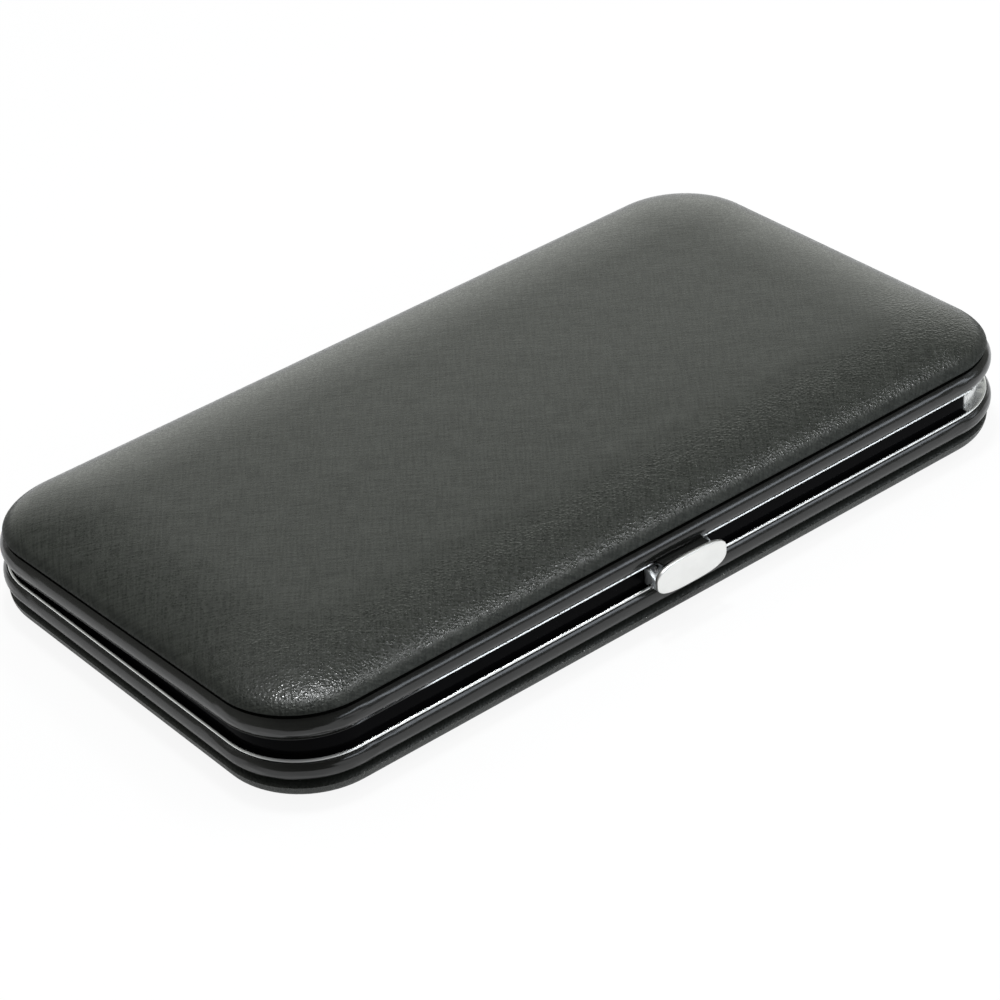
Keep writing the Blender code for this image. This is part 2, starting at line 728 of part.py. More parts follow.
def main():
    clear_scene()
    finishes = {
        "leather_cover": finish_of("black_leather", (0.03, 0.03, 0.028), 0.5),
        "foam_pad": finish_of("foam", (0.6, 0.58, 0.52), 0.9),
        "board": finish_of("moulded_board", (0.12, 0.12, 0.12), 0.6),
        "magnet_sheet": finish_of("magnet_sheet", (0.08, 0.07, 0.07), 0.7),
        "lining": finish_of("velvet", (0.02, 0.02, 0.022), 0.95),
        "frame": finish_of("black_bead", (0.02, 0.02, 0.022), 0.25),
        "rim": finish_of("black_nickel", (0.05, 0.05, 0.055), 0.15, 1.0),
        "hinge": finish_of("hinge_steel", (0.3, 0.3, 0.31), 0.3, 1.0),
        "steel": finish_of("bright_steel", (0.7, 0.7, 0.72), 0.25, 1.0),
        "clasp": finish_of("clasp_plate", (0.6, 0.62, 0.62), 0.25, 1.0),
        "button": finish_of("silver_button", (0.85, 0.85, 0.83), 0.3, 1.0),
        "catch": finish_of("blackened_steel", (0.04, 0.04, 0.045), 0.4, 1.0),
    }
    lid = pivot_at("lid_axis", (0, AXIS_Y, AXIS_Z), math.radians(-LID_TILT))
    clasp = pivot_at("clasp_axis", (0, front(CLASP_PIN_OUT), RIM_Z + CLASP_PIN_UP))
    bpy.context.view_layer.update()

    bead_top = RIM_Z - RIM_FLANGE - LAYER_GAP
    base_bead = frame_profile(BASE_TOP_INSET, 0.0, BASE_SEAM_INSET, bead_top, SEAM_Z)
    base_frame = mesh_object("base_frame", swept("base_frame", base_bead, True), finishes["frame"])
    add_half("base", SEAM_Z, -1, base_frame, LIP_INSET + LIP + LAYER_GAP, finishes)
    rim = mesh_object("base_inner_rim", swept("base_inner_rim", rim_profile(), True), finishes["rim"])

    lid_bead = frame_profile(LID_EDGE_INSET, LID_BULGE_INSET, LID_SEAM_INSET, LID_Z, LID_SEAM_Z)
    lid_frame = mesh_object("lid_frame", swept("lid_frame", lid_bead, True), finishes["frame"])
    lid_flange = LIP_INSET + LIP + LID_FLANGE_CLEARANCE
    for obj in add_half("lid", LID_SEAM_Z, 1, lid_frame, lid_flange, finishes):
        hang(obj, lid)

    for side_name, x in (("left", -HINGE_SPREAD), ("right", HINGE_SPREAD)):
        add_hinge(side_name, x, base_frame, lid_frame, lid, finishes)
    add_bracket(rim, finishes)
    add_clasp_pin(finishes)
    add_spacer(finishes)
    add_spring(finishes)
    add_arm(clasp, finishes)
    add_button(clasp, finishes)
    add_catch(lid, lid_frame, finishes)


main()
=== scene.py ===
# %% [markdown]
# A slim case for tweezers has two padded leather halves, each held in a rolled metal bead. A folded
# strip stands up inside the base, two small hinges join the halves at the back and an oval button
# works the clasp at the front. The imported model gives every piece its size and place. This notebook
# dresses it: each cell makes one kind of piece or one finish.

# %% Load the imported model
import json
from math import acos, asin, copysign, cos, dist, hypot, pi, radians, sin, sqrt

import bmesh
import bpy
from mathutils import Matrix, Vector
from mathutils.kdtree import KDTree


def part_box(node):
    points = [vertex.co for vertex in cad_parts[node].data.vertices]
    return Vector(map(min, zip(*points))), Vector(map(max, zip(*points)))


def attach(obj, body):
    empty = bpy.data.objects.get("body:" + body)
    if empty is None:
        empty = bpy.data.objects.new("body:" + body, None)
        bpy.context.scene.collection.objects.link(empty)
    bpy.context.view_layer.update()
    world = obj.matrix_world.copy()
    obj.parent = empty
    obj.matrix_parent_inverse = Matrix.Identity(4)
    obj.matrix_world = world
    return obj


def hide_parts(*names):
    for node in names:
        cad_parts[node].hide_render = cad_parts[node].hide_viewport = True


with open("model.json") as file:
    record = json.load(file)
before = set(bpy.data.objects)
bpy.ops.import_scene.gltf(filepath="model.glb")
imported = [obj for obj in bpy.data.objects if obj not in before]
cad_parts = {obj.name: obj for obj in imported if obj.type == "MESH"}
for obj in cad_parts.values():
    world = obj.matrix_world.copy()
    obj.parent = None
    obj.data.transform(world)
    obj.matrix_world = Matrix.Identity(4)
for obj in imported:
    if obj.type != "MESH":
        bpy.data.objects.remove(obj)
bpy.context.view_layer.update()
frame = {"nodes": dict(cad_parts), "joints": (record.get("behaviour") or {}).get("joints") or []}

# %% [markdown]
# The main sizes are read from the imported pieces, so that the dressing always fits them. What can't
# be read from a box, such as a thickness or a corner's radius, is a named value in metres.

# %% Sizes of the case
HALVES = ("base", "lid")
SIDES = ("left", "right")

bead_low, bead_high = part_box("base_frame")
LENGTH = bead_high.x - bead_low.x
WIDTH = bead_high.y - bead_low.y
LEFT_X = -LENGTH / 2
FRONT_Y = -WIDTH / 2
BASE_SEAM_Z = bead_low.z
CORNER_R = 0.0163
CORNER_EASE = 0.6

CROWN_H = BASE_SEAM_Z
CROWN_RUN = 0.0217
CROWN_START = 0.00055
FULLNESS = {"base": 4.2, "lid": 2.19}

GAP = 0.00025
LEATHER = 0.0007
FOAM = 0.0012
BOARD = 0.001
MAGNET = 0.0005
LINING = 0.0005
WEB = 0.0005
WEB_REACH = 0.005
HEM_REACH = 0.0052
HEM_BOTTOM = GAP
HEM_TOP = HEM_BOTTOM + LEATHER

LIP_H = 0.0039
LIP_INSET = 0.00205
LIP = 0.0006
RIM_EDGE_INSET = 0.0008
RIM_FLANGE = 0.0005
RIM_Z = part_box("base_inner_rim")[1].z - LIP_H

LID_BEAD_H = 0.00404
LID_OVER_AXIS = 0.000367
LID_TILT = radians(2.1)

axis = next(joint["pos_m"] for joint in frame["joints"] if joint["name"] == "lid_hinge")
LID_Z = axis[2] + LID_OVER_AXIS
LID_SEAM_Z = LID_Z + LID_BEAD_H
tilt = Matrix.Rotation(-LID_TILT, 4, "X")
AJAR = Matrix.Translation(axis) @ tilt @ Matrix.Translation([-part for part in axis])
print("case", round(1000 * LENGTH, 1), "x", round(1000 * WIDTH, 1), "mm over the bead")

# %% [markdown]
# Both kinds of node tree, for shapes and for finishes, are written as plain expressions. A Wire wraps
# one socket, and arithmetic on it adds the Math node that works it out. A Graph adds every other node.

# %% Wires and graphs
class Wire:
    """One socket of a node tree. Arithmetic on it adds Math nodes."""

    def __init__(self, graph, socket):
        self.graph = graph
        self.socket = socket

    def math(self, operation, *others):
        return self.graph.node("ShaderNodeMath", (self, *others), operation=operation)

    def __add__(self, other):
        return self.math("ADD", other)

    def __sub__(self, other):
        return self.math("SUBTRACT", other)

    def __rsub__(self, other):
        return self.graph.node("ShaderNodeMath", (other, self), operation="SUBTRACT")

    def __mul__(self, other):
        return self.math("MULTIPLY", other)

    def __truediv__(self, other):
        return self.math("DIVIDE", other)

    __radd__ = __add__
    __rmul__ = __mul__


class Graph:
    """A node tree that is built one call at a time."""

    def __init__(self, tree):
        self.tree = tree

    def node(self, kind, inputs=(), output=0, **settings):
        """Adds a node, sets its settings and then its sockets, and returns one of its outputs."""
        made = self.tree.nodes.new(kind)
        for key, value in settings.items():
            setattr(made, key, value)
        pairs = inputs.items() if isinstance(inputs, dict) else enumerate(inputs)
        for key, value in pairs:
            self.feed(made.inputs[key], value)
        return Wire(self, made.outputs[output])

    def shape(self, kind, **sockets):
        """Adds a Geometry Nodes node, whose sockets are given by name with _ for a space."""
        inputs = {name.replace("_", " "): value for name, value in sockets.items()}
        return self.node(f"GeometryNode{kind}", inputs)

    def feed(self, socket, value):
        if isinstance(value, Wire):
            self.tree.links.new(value.socket, socket)
        else:
            socket.default_value = value

    def end(self, kind, name, value):
        """Adds the node that ends the tree, and feeds it."""
        self.feed(self.tree.nodes.new(kind).inputs[name], value)

    def parts(self, vector):
        """The x, y and z of a vector."""
        first = self.node("ShaderNodeSeparateXYZ", [vector])
        return [Wire(self, socket) for socket in first.socket.node.outputs]

    def vector(self, x, y, z=0.0):
        return self.node("ShaderNodeCombineXYZ", (x, y, z))

    def span(self, value, low, high, start=0.0, end=1.0):
        """The value mapped smoothly from low to high onto start to end, and held beyond them."""
        inputs = (value, low, high, start, end)
        return self.node("ShaderNodeMapRange", inputs, interpolation_type="SMOOTHSTEP")

    def mix(self, share, first, second):
        """From the first colour to the second, as the share grows."""
        inputs = {0: share, 6: (*first, 1.0), 7: (*second, 1.0)}
        return self.node("ShaderNodeMix", inputs, output=2, data_type="RGBA")

# %% [markdown]
# A finish is a material with a Principled shader. Its patterns read the object's own coordinates, in
# metres, so a scale of 3000 on a cell pattern gives grains of a third of a millimetre.

# %% The start of every finish
class Finish(Graph):
    """A material whose Principled shader gets constants at once and patterns later."""

    def __init__(self, name, colour, roughness, metallic=0.0, **constants):
        self.material = bpy.data.materials.new(name)
        self.material.use_nodes = True
        super().__init__(self.material.node_tree)
        self.shader = self.tree.nodes["Principled BSDF"]
        self.material.diffuse_color = (*colour, 1.0)
        self.put("Base Color", (*colour, 1.0))
        self.put("Roughness", roughness)
        self.put("Metallic", metallic)
        for key, value in constants.items():
            self.put(key.replace("_", " "), value)
        self.place = self.node("ShaderNodeTexCoord", output="Object")

    def put(self, name, value):
        self.feed(self.shader.inputs[name], value)

    def tint(self, share, first, second):
        self.put("Base Color", self.mix(share, first, second))

    def marked(self, name, output="Fac"):
        """What the mesh carries at each point: a number, or a place with Vector as the output."""
        return self.node("ShaderNodeAttribute", attribute_name=name, output=output)

    def noise(self, scale, detail=2.0, at=None):
        inputs = {"Vector": at or self.place, "Scale": scale, "Detail": detail}
        return self.node("ShaderNodeTexNoise", inputs, "Fac")

    def cells(self, scale, at=None):
        inputs = {"Vector": at or self.place, "Scale": scale}
        return self.node("ShaderNodeTexVoronoi", inputs, "Distance")

    def drawn_out(self, scale, turn=0, at=None):
        """A place turned about Z and then scaled, which draws a pattern out along one direction."""
        inputs = {"Vector": at or self.place, "Rotation": (0, 0, turn)}
        turned = self.node("ShaderNodeMapping", inputs)
        return self.node("ShaderNodeMapping", {"Vector": turned, "Scale": scale})

    def blend(self, share, first, second):
        return first + share * (second - first)

    def embossed(self, *layers):
        """Ends a finish: bump from (height, depth in metres) pairs, each laid over the one before."""
        normal = None
        for height, depth in layers:
            sockets = {"Height": height, "Distance": depth, "Strength": 1.0}
            if normal:
                sockets["Normal"] = normal
            normal = self.node("ShaderNodeBump", sockets)
        self.put("Normal", normal)
        print(f"{self.material.name}: {len(self.tree.nodes)} nodes")
        return self.material

# %% [markdown]
# The cover is polyurethane leather with a fine pebble grain, crossed by faint straight threads of tone
# in two directions. The grain lies on the sheet as it was before it was pulled over the edge, so its
# pattern reads the unrolled place that the mesh carries, and doesn't stretch on the steep shoulder. It
# stands open where the sheet bends at the front and is pressed nearly flat on top. Shade is painted in
# the crease beside the bead: the colour goes nearly black, and Metallic takes the shine away there and,
# on the lid, a little above it, as a groove in the shade has no shine.

# %% Leather
HATCH_TURNS = (radians(38), radians(-52))
HATCH_STRETCH = (2600, 150, 1)
DENT_DEPTH = 0.00011
HATCH_DEPTH = 0.000016
GRAIN_DEPTH = 0.000072


def make_leather():
    finish = Finish("grained_black_leather", (0.012, 0.014, 0.011), 0.36)
    flat = finish.marked("grain_at", "Vector")
    inset, crease = finish.marked("inset"), finish.marked("crease")
    _, y, z = finish.parts(finish.place)
    grain = 1 - finish.cells(1750, flat)
    fine = finish.noise(2400, 1.0, flat)
    dents = finish.noise(70, 3.0, flat)
    patches = finish.noise(420, 2.0, flat)
    ways = [finish.drawn_out(HATCH_STRETCH, turn, flat) for turn in HATCH_TURNS]
    hatch = finish.noise(1.0, at=ways[0]) + finish.noise(1.0, at=ways[1])
    # painted shade: in the crease beside the bead the colour goes nearly black, and Metallic takes the
    # shine away there and, on the lid, a little above it
    tone = finish.span(hatch * 0.5 + fine * 0.25, 0.45, 0.8) * (1 - crease)
    finish.tint(tone, (0.006, 0.0077, 0.0057), (0.0255, 0.0284, 0.024))
    seam_shade = finish.span(inset, 0.0028, 0.0014) * finish.span(z, LID_Z, LID_SEAM_Z)
    gloss = 0.07 + patches * 0.06 + finish.span(grain, 0.9, 0.45, 0.0, 0.2)
    finish.put("Metallic", crease.math("MAXIMUM", seam_shade * 0.42))
    finish.put("Roughness", finish.blend(crease, gloss + seam_shade * 0.3, 0.9))
    on_shoulder = finish.span(inset, 0.019, 0.011)
    at_front = finish.span(y, FRONT_Y + 0.034, FRONT_Y + 0.017)
    opened = 0.12 + on_shoulder * (0.05 + at_front * 0.83)
    wear_and_painted_reflection = 0.3 + finish.span(y, 0.0, 0.035, 0.0, 0.7)
    return finish.embossed(
        (dents, DENT_DEPTH), (hatch * wear_and_painted_reflection, HATCH_DEPTH), ((grain + fine) * opened, GRAIN_DEPTH)
    )


leather = make_leather()

# %% [markdown]
# The beads are rolled from painted strip. The paint is glossy black with a little orange peel, and a
# little wavy where the strip is bent round the corners. It has rubbed off at the strip's free edge,
# which shows along the front as a thin bright line, up to the catch and short of the left corner. The
# mesh marks that edge, because a finish alone can't find it.

# %% Painted bead
CATCH_WIDTH = 0.0107
NOTCH_GAP = 0.00008
NOTCH_HALF = CATCH_WIDTH / 2 + NOTCH_GAP
BARE_METAL = (0.85, 0.86, 0.85)


def make_bead_paint():
    finish = Finish("black_bead_paint", (0.008, 0.008, 0.009), 0.16)
    peel = finish.noise(900)
    waves = finish.noise(150, 1.0, finish.drawn_out((1, 1, 5)))
    nicks = finish.noise(1700, 3.0)
    x, y, _ = finish.parts(finish.place)
    out_x, out_y = x.math("ABSOLUTE"), y.math("ABSOLUTE")
    at_end = finish.span(out_x, LENGTH / 2 - 0.03, LENGTH / 2 - 0.012)
    at_corner = at_end * finish.span(out_y, WIDTH / 2 - 0.03, WIDTH / 2 - 0.012)
    at_front = finish.span(y, FRONT_Y + 0.004, FRONT_Y + 0.002)
    off_left = finish.span(x, LEFT_X + 0.028, LEFT_X + 0.034)
    off_notch = finish.span(out_x, NOTCH_HALF + 0.0002, NOTCH_HALF + 0.0006)
    kept = finish.span(nicks, 0.22, 0.42)
    bare = finish.marked("bare") * kept * at_front * off_left * off_notch
    finish.tint(bare, (0.0075, 0.0078, 0.0069), BARE_METAL)
    finish.put("Metallic", bare)
    finish.put("Roughness", finish.blend(bare, 0.13 + peel * 0.14, 0.3))
    painted = 1 - bare
    return finish.embossed((waves * (0.1 + at_corner) * painted, 0.00026), (peel * painted, 0.000008))


bead_paint = make_bead_paint()

# %% [markdown]
# The inner rim is plated black and polished. Seen square on it shows almost nothing of the room, which
# a low specular level gives. Its folded edge is polished back to bright metal, duller at the front left
# corner. Inside the front right corner a mottled patch of bright metal is a painted reflection.

# %% Black plated rim
def make_rim_plating():
    finish = Finish("black_plated_rim", (0.003, 0.003, 0.0034), 0.08, Specular_IOR_Level=0.02)
    streak = finish.noise(260, 3.0, finish.drawn_out((1, 1, 0.05)))
    # painted reflection: a mottled patch of bright metal on the rim inside the front right corner
    wear_and_reflection_mottle = finish.span(finish.noise(620, 3.0), 0.3, 0.62, 0.15, 0.8)
    x, y, _ = finish.parts(finish.place)
    at_right = finish.span(x, LENGTH / 2 - 0.0152, LENGTH / 2 - 0.0144)
    outside = finish.span(finish.marked("inset"), LIP_INSET + LIP * 0.5, LIP_INSET + LIP * 0.2)
    at_front = finish.span(y, FRONT_Y + 0.018, FRONT_Y + 0.016)
    wear_and_painted_reflection = at_right * outside * at_front * wear_and_reflection_mottle
    at_left = finish.span(x, LEFT_X + 0.019, LEFT_X + 0.0015)
    dull = at_left * finish.span(y, FRONT_Y + 0.016, FRONT_Y + 0.004)
    # bare is the polished edge together with the painted reflection at the front right corner
    bare = (finish.marked("bare") * (1 - dull * 0.75)).math("MAXIMUM", wear_and_painted_reflection)
    finish.tint(bare, (0.002, 0.002, 0.0023), BARE_METAL)
    finish.put("Metallic", bare)
    finish.put("Roughness", finish.blend(bare, 0.05 + streak * 0.12, 0.28))
    return finish.embossed((streak * (1 - bare), 0.00003))


rim_plating = make_rim_plating()

# %% [markdown]
# The button has a fine satin face, and the other hardware is nickel plated or plain steel. One function
# makes them all, because only the colour, the roughness and the depth of the brushing differ.

# %% Metal finishes
def make_metal(name, colour, roughness, brushed, stained, wear_and_reflection_mottle=0.8):
    """A metal with brush marks along X and soft stains, where it is this much as bright."""
    finish = Finish(name, colour, roughness, metallic=1.0)
    marks = finish.noise(5200, at=finish.drawn_out((0.06, 1, 1)))
    stain = finish.noise(300, 3.0)
    clean = finish.span(stain * stained + marks * (1 - stained), 0.3, 0.7)
    finish.tint(clean, [part * wear_and_reflection_mottle for part in colour], colour)
    finish.put("Roughness", roughness - 0.05 + marks * 0.06 + stain * 0.08)
    return finish.embossed((stain, 0.00002 * stained), (marks, brushed))


silver = make_metal("satin_silver", (0.84, 0.84, 0.82), 0.34, 0.0000003, 0.8, 0.95)
nickel = make_metal("satin_nickel", (0.75, 0.78, 0.8), 0.45, 0.000001, 0.6)
hinge_steel = make_metal("hinge_steel", (0.34, 0.34, 0.35), 0.28, 0.000003, 0.5)
rivet_steel = make_metal("rivet_steel", (0.7, 0.7, 0.72), 0.22, 0.000001, 0.7)

# %% [markdown]
# Inside, the velvet has a short pile that catches light at its edges and lies in faint patches. Foam
# has open pores, the moulded board has a pressed fibre texture and the magnet sheet a dull rubber skin.
# A sheen layer stands for the pile, which is far too short to be worth any hairs.

# %% Velvet, foam, board and magnet sheet
def make_velvet():
    sheen = {"Sheen_Weight": 0.55, "Sheen_Roughness": 0.35}
    finish = Finish("black_velvet", (0.011, 0.011, 0.012), 0.95, **sheen)
    pile = finish.noise(3600, 3.0)
    lean = finish.noise(60, 4.0, finish.drawn_out((1, 0.35, 1), 0.4))
    tone = finish.span(lean * 0.45 + pile * 0.55, 0.32, 0.7)
    finish.tint(tone, (0.006, 0.006, 0.0065), (0.021, 0.021, 0.023))
    return finish.embossed((lean, 0.00014), (pile, 0.00014))


def make_foam():
    finish = Finish("cream_foam", (0.6, 0.58, 0.52), 0.9)
    pores = finish.cells(1500)
    age = finish.noise(120)
    tone = finish.span(pores + age * 0.4, 0.1, 0.8)
    finish.tint(tone, (0.36, 0.34, 0.29), (0.66, 0.64, 0.57))
    return finish.embossed((pores, 0.0002))


def make_board():
    finish = Finish("moulded_board", (0.12, 0.12, 0.12), 0.6)
    fibre = finish.noise(2400, 3.0, finish.drawn_out((1, 0.2, 1), 0.3))
    blotch = finish.noise(90)
    tone = finish.span(fibre * 0.6 + blotch * 0.4, 0.3, 0.7)
    finish.tint(tone, (0.09, 0.09, 0.09), (0.16, 0.155, 0.15))
    finish.put("Roughness", 0.5 + fibre * 0.2)
    return finish.embossed((fibre, 0.00003))


def make_magnet_skin():
    finish = Finish("magnet_sheet", (0.05, 0.045, 0.045), 0.7)
    skin = finish.noise(1300, 3.0)
    finish.tint(skin, (0.035, 0.03, 0.03), (0.075, 0.068, 0.066))
    finish.put("Roughness", 0.6 + skin * 0.2)
    return finish.embossed((skin, 0.00004))


velvet = make_velvet()
foam = make_foam()
moulded_board = make_board()
magnet_skin = make_magnet_skin()

# %% [markdown]
# Nearly every large piece of the case is one section taken round the same rounded outline: the covers,
# the foam, the boards, the linings, the beads and the rim. The corner's radius shrinks by less than the
# inset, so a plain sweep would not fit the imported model. Geometry Nodes place each point by that rule
# instead. The section comes in as a line mesh whose points carry their inset and height.

# %% The tree that takes a section round the case
PATH_R = 0.05  # any radius does, because every point is then placed by the rule
WELD = 0.000004
FINE_WELD = 0.000002


def new_tree(name, lengths=(), counts=()):
    """An empty Geometry Nodes tree with these inputs and a Material, its graph and its input wires."""
    kinds = {"Geometry": "Geometry"}
    kinds |= dict.fromkeys(lengths, "Float") | dict.fromkeys(counts, "Int") | {"Material": "Material"}
    tree = bpy.data.node_groups.new(name, "GeometryNodeTree")
    for label, kind in kinds.items():
        tree.interface.new_socket(label, in_out="INPUT", socket_type=f"NodeSocket{kind}")
    tree.interface.new_socket("Geometry", in_out="OUTPUT", socket_type="NodeSocketGeometry")
    graph = Graph(tree)
    group = tree.nodes.new("NodeGroupInput")
    return tree, graph, {label: Wire(graph, group.outputs[label]) for label in kinds}


def finish_tree(graph, shape, material):
    """Ends a tree as the export needs it: real geometry with its material."""
    real = graph.shape("RealizeInstances", Geometry=shape)
    dressed = graph.shape("SetMaterial", Geometry=real, Material=material)
    graph.end("NodeGroupOutput", "Geometry", dressed)


def named(graph, name, kind="FLOAT"):
    return graph.node("GeometryNodeInputNamedAttribute", {"Name": name}, data_type=kind)


def store(graph, shape, name, vector):
    sockets = {"Geometry": shape, "Name": name, "Value": vector}
    kind = "GeometryNodeStoreNamedAttribute"
    return graph.node(kind, sockets, data_type="FLOAT_VECTOR", domain="POINT")


def circle(graph, steps, radius):
    return graph.shape("CurvePrimitiveCircle", Resolution=steps, Radius=radius)


def placed_on_outline(graph, wires, inset, height):
    """Where a point with this inset and height lies, from the direction that its path point faces."""
    face_x, face_y, _ = graph.parts(named(graph, "faces", "FLOAT_VECTOR"))
    side_x, side_y, _ = graph.parts(named(graph, "side", "FLOAT_VECTOR"))
    radius = (wires["Corner Radius"] - inset * wires["Corner Ease"]).math("MAXIMUM", 0.0)
    x = side_x * (wires["Length"] * 0.5 - inset - radius) + face_x * radius
    y = side_y * (wires["Width"] * 0.5 - inset - radius) + face_y * radius
    return graph.vector(x, y, height)


def make_ring_tree():
    lengths = ("Length", "Width", "Corner Radius", "Corner Ease")
    tree, graph, wires = new_tree("section_round_the_case", lengths, ("Corner Steps", "Straight Steps"))
    curve_steps, straight_steps = wires["Corner Steps"], wires["Straight Steps"]
    per_corner = curve_steps + straight_steps + 1
    index = graph.shape("InputIndex")
    corner = ((index + 0.5) / per_corner).math("FLOOR")
    step = index - corner * per_corner
    turn = (corner + (step / curve_steps).math("MINIMUM", 1.0)) * (pi / 2)
    along = (step - curve_steps).math("MAXIMUM", 0.0) / (straight_steps + 1)
    middle = (corner + 0.5) * (pi / 2)
    across, up = middle.math("COSINE") * sqrt(2), middle.math("SINE") * sqrt(2)
    side = graph.vector(across - along * (across + up), up + along * (across - up))
    faces = graph.vector(turn.math("COSINE"), turn.math("SINE"))
    path = circle(graph, per_corner * 4, PATH_R)
    path = store(graph, store(graph, path, "faces", faces), "side", side)
    section = graph.shape("MeshToCurve", Mesh=wires["Geometry"])
    skin = graph.shape("CurveToMesh", Curve=path, Profile_Curve=section)
    flat = placed_on_outline(graph, wires, named(graph, "unrolled"), 0.0)
    skin = store(graph, skin, "grain_at", flat)
    place = placed_on_outline(graph, wires, named(graph, "inset"), named(graph, "height"))
    skin = graph.shape("SetPosition", Geometry=skin, Position=place)
    skin = graph.shape("MergeByDistance", Geometry=skin, Distance=WELD)
    finish_tree(graph, skin, wires["Material"])
    return tree


ring_tree = make_ring_tree()
print("ring tree:", len(ring_tree.nodes), "nodes")

# %% [markdown]
# A section is a list of (inset, height) points. These helpers turn it into the line mesh, run the tree
# on it, keep the plain mesh that comes out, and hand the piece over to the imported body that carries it.

# %% From a section to a finished piece
CORNER_STEPS = 20
SMOOTH_UNDER = radians(32)


def linked(name, data):
    """A new object of this data, in the scene."""
    obj = bpy.data.objects.new(name, data)
    bpy.context.scene.collection.objects.link(obj)
    return obj


def mesh_of(bm, name):
    mesh = bpy.data.meshes.new(name)
    bm.to_mesh(mesh)
    bm.free()
    return mesh


def face_out(mesh):
    """Turns the faces outwards and marks the sharp edges."""
    bm = bmesh.new()
    bm.from_mesh(mesh)
    bmesh.ops.recalc_face_normals(bm, faces=bm.faces)
    bm.to_mesh(mesh)
    bm.free()
    mesh.shade_smooth()
    mesh.set_sharp_from_angle(angle=SMOOTH_UNDER)


def keep_result(obj):
    """Swaps an object's mesh for the one that its modifiers make of it."""
    graph = bpy.context.evaluated_depsgraph_get()
    mesh = bpy.data.meshes.new_from_object(obj.evaluated_get(graph), depsgraph=graph)
    obj.modifiers.clear()
    obj.data = mesh
    face_out(mesh)


def grown(name, tree, source, inputs):
    """The object that a Geometry Nodes tree makes from a source mesh."""
    obj = linked(name, source)
    modifier = obj.modifiers.new(tree.name, "NODES")
    modifier.node_group = tree
    for item in tree.interface.items_tree:
        if item.in_out == "INPUT" and item.name in inputs:
            modifier[item.identifier] = inputs[item.name]
    keep_result(obj)
    return obj


def line_mesh(name, points, closed, marks):
    """A line mesh whose points carry their inset, their height and what a finish or the tree reads."""
    count = len(points)
    edges = [(i, (i + 1) % count) for i in range(count if closed else count - 1)]
    mesh = bpy.data.meshes.new(name)
    mesh.from_pydata([(inset, 0, height) for inset, height in points], edges, [])
    insets, heights = zip(*points)
    columns = {"inset": insets, "height": heights, "unrolled": insets}
    columns |= dict.fromkeys(("bare", "crease"), [0.0] * count) | marks
    for label, values in columns.items():
        mesh.attributes.new(label, "FLOAT", "POINT").data.foreach_set("value", values)
    return mesh


def ring(name, points, material, closed=False, straight_steps=0, **marks):
    """A section taken round the case."""
    inputs = {
        "Length": LENGTH,
        "Width": WIDTH,
        "Corner Radius": CORNER_R,
        "Corner Ease": CORNER_EASE,
        "Corner Steps": CORNER_STEPS,
        "Straight Steps": straight_steps,
        "Material": material,
    }
    return grown(name, ring_tree, line_mesh(name, points, closed, marks), inputs)


def hand_over(obj, body, slot, *nodes, ajar=False):
    """Puts a finished piece on its body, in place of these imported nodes. The lid's pieces are tilted
    there, unless they are ajar already."""
    if body == "lid" and not ajar:
        obj.data.transform(AJAR)
    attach(obj, body)
    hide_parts(*nodes)
    print(f"{obj.name}: {len(obj.data.polygons)} faces, rides on {body}")

# %% [markdown]
# The crown follows a superellipse from the seam up to a flat middle, fuller below the base, which bears
# the weight of the case, than above the lid. A layer deeper inside follows the same curve with both
# half-axes reduced by its depth, so the layers nest at an even distance.

# %% Sections of the padded halves
CREASE_H = {"base": 0.0017, "lid": 0.0011}
CREASE_IN = {"base": 0.00095, "lid": 0.0016}
CREASE_POWER = {"base": 5, "lid": 1.5}
FLAT_STEP = 0.012
STEP_EASE = 0.8  # sets the points closer near the seam
COVER_STEPS = (36, 24)
LAYER_STEPS = (16, 12)


def crown_point(depth, angle, half):
    power = 2 / FULLNESS[half]
    inset = CROWN_START + depth + (CROWN_RUN - depth) * (1 - cos(angle) ** power)
    return inset, (CROWN_H - depth) * sin(angle) ** power


def crown_line(depth, steps, height, half):
    """Points from the centre line of the flat middle down the crown to a height near the seam."""
    start = asin((height / (CROWN_H - depth)) ** (FULLNESS[half] / 2))
    run = start - pi / 2
    angles = [pi / 2 + run * (step / steps) ** STEP_EASE for step in range(1, steps + 1)]
    flat = [WIDTH / 2, WIDTH / 2 - FLAT_STEP, CROWN_START + CROWN_RUN]
    top = [(inset, CROWN_H - depth) for inset in flat]
    return top + [crown_point(depth, angle, half) for angle in angles]


def tucked(points, half):
    """Pulls the part of a line next to the seam inwards, which leaves a groove beside the bead."""
    height, pull, power = CREASE_H[half], CREASE_IN[half], CREASE_POWER[half]
    return [(inset + pull * (1 - min(z / height, 1.0) ** power) ** 2, z) for inset, z in points]


def unrolled_insets(points):
    """The inset that each point of the sheet had before it was pulled down, keeping its length."""
    insets = [points[0][0]]
    for before, point in zip(points, points[1:]):
        flat = point[0] >= CROWN_START + CROWN_RUN
        insets.append(point[0] if flat else insets[-1] - dist(point, before))
    return insets


def on_half(points, half):
    """Heights over the seam as heights in the case: up on the lid and down on the base."""
    seam, side = (LID_SEAM_Z, 1) if half == "lid" else (BASE_SEAM_Z, -1)
    return [(inset, seam + side * height) for inset, height in points]


def cover_section(half):
    """The leather's outside, its turned-in hem and its inside, from centre line to centre line."""
    outside = crown_line(0, COVER_STEPS[0], HEM_TOP * 0.6, half)
    edge = outside[-1][0]
    wall = [(edge, HEM_BOTTOM + LEATHER * 0.28), (edge, HEM_BOTTOM + LEATHER * 0.1)]
    outside = tucked(outside + wall, half)
    hem = [
        (outside[-1][0] + LEATHER * 0.2, HEM_BOTTOM),
        (HEM_REACH - LEATHER * 0.2, HEM_BOTTOM),
        (HEM_REACH, HEM_BOTTOM + LEATHER * 0.3),
        (HEM_REACH, HEM_TOP),
    ]
    inside = crown_line(LEATHER, COVER_STEPS[1], HEM_TOP, half)
    return outside + hem, (tucked(inside, half) if half == "base" else inside)[::-1]


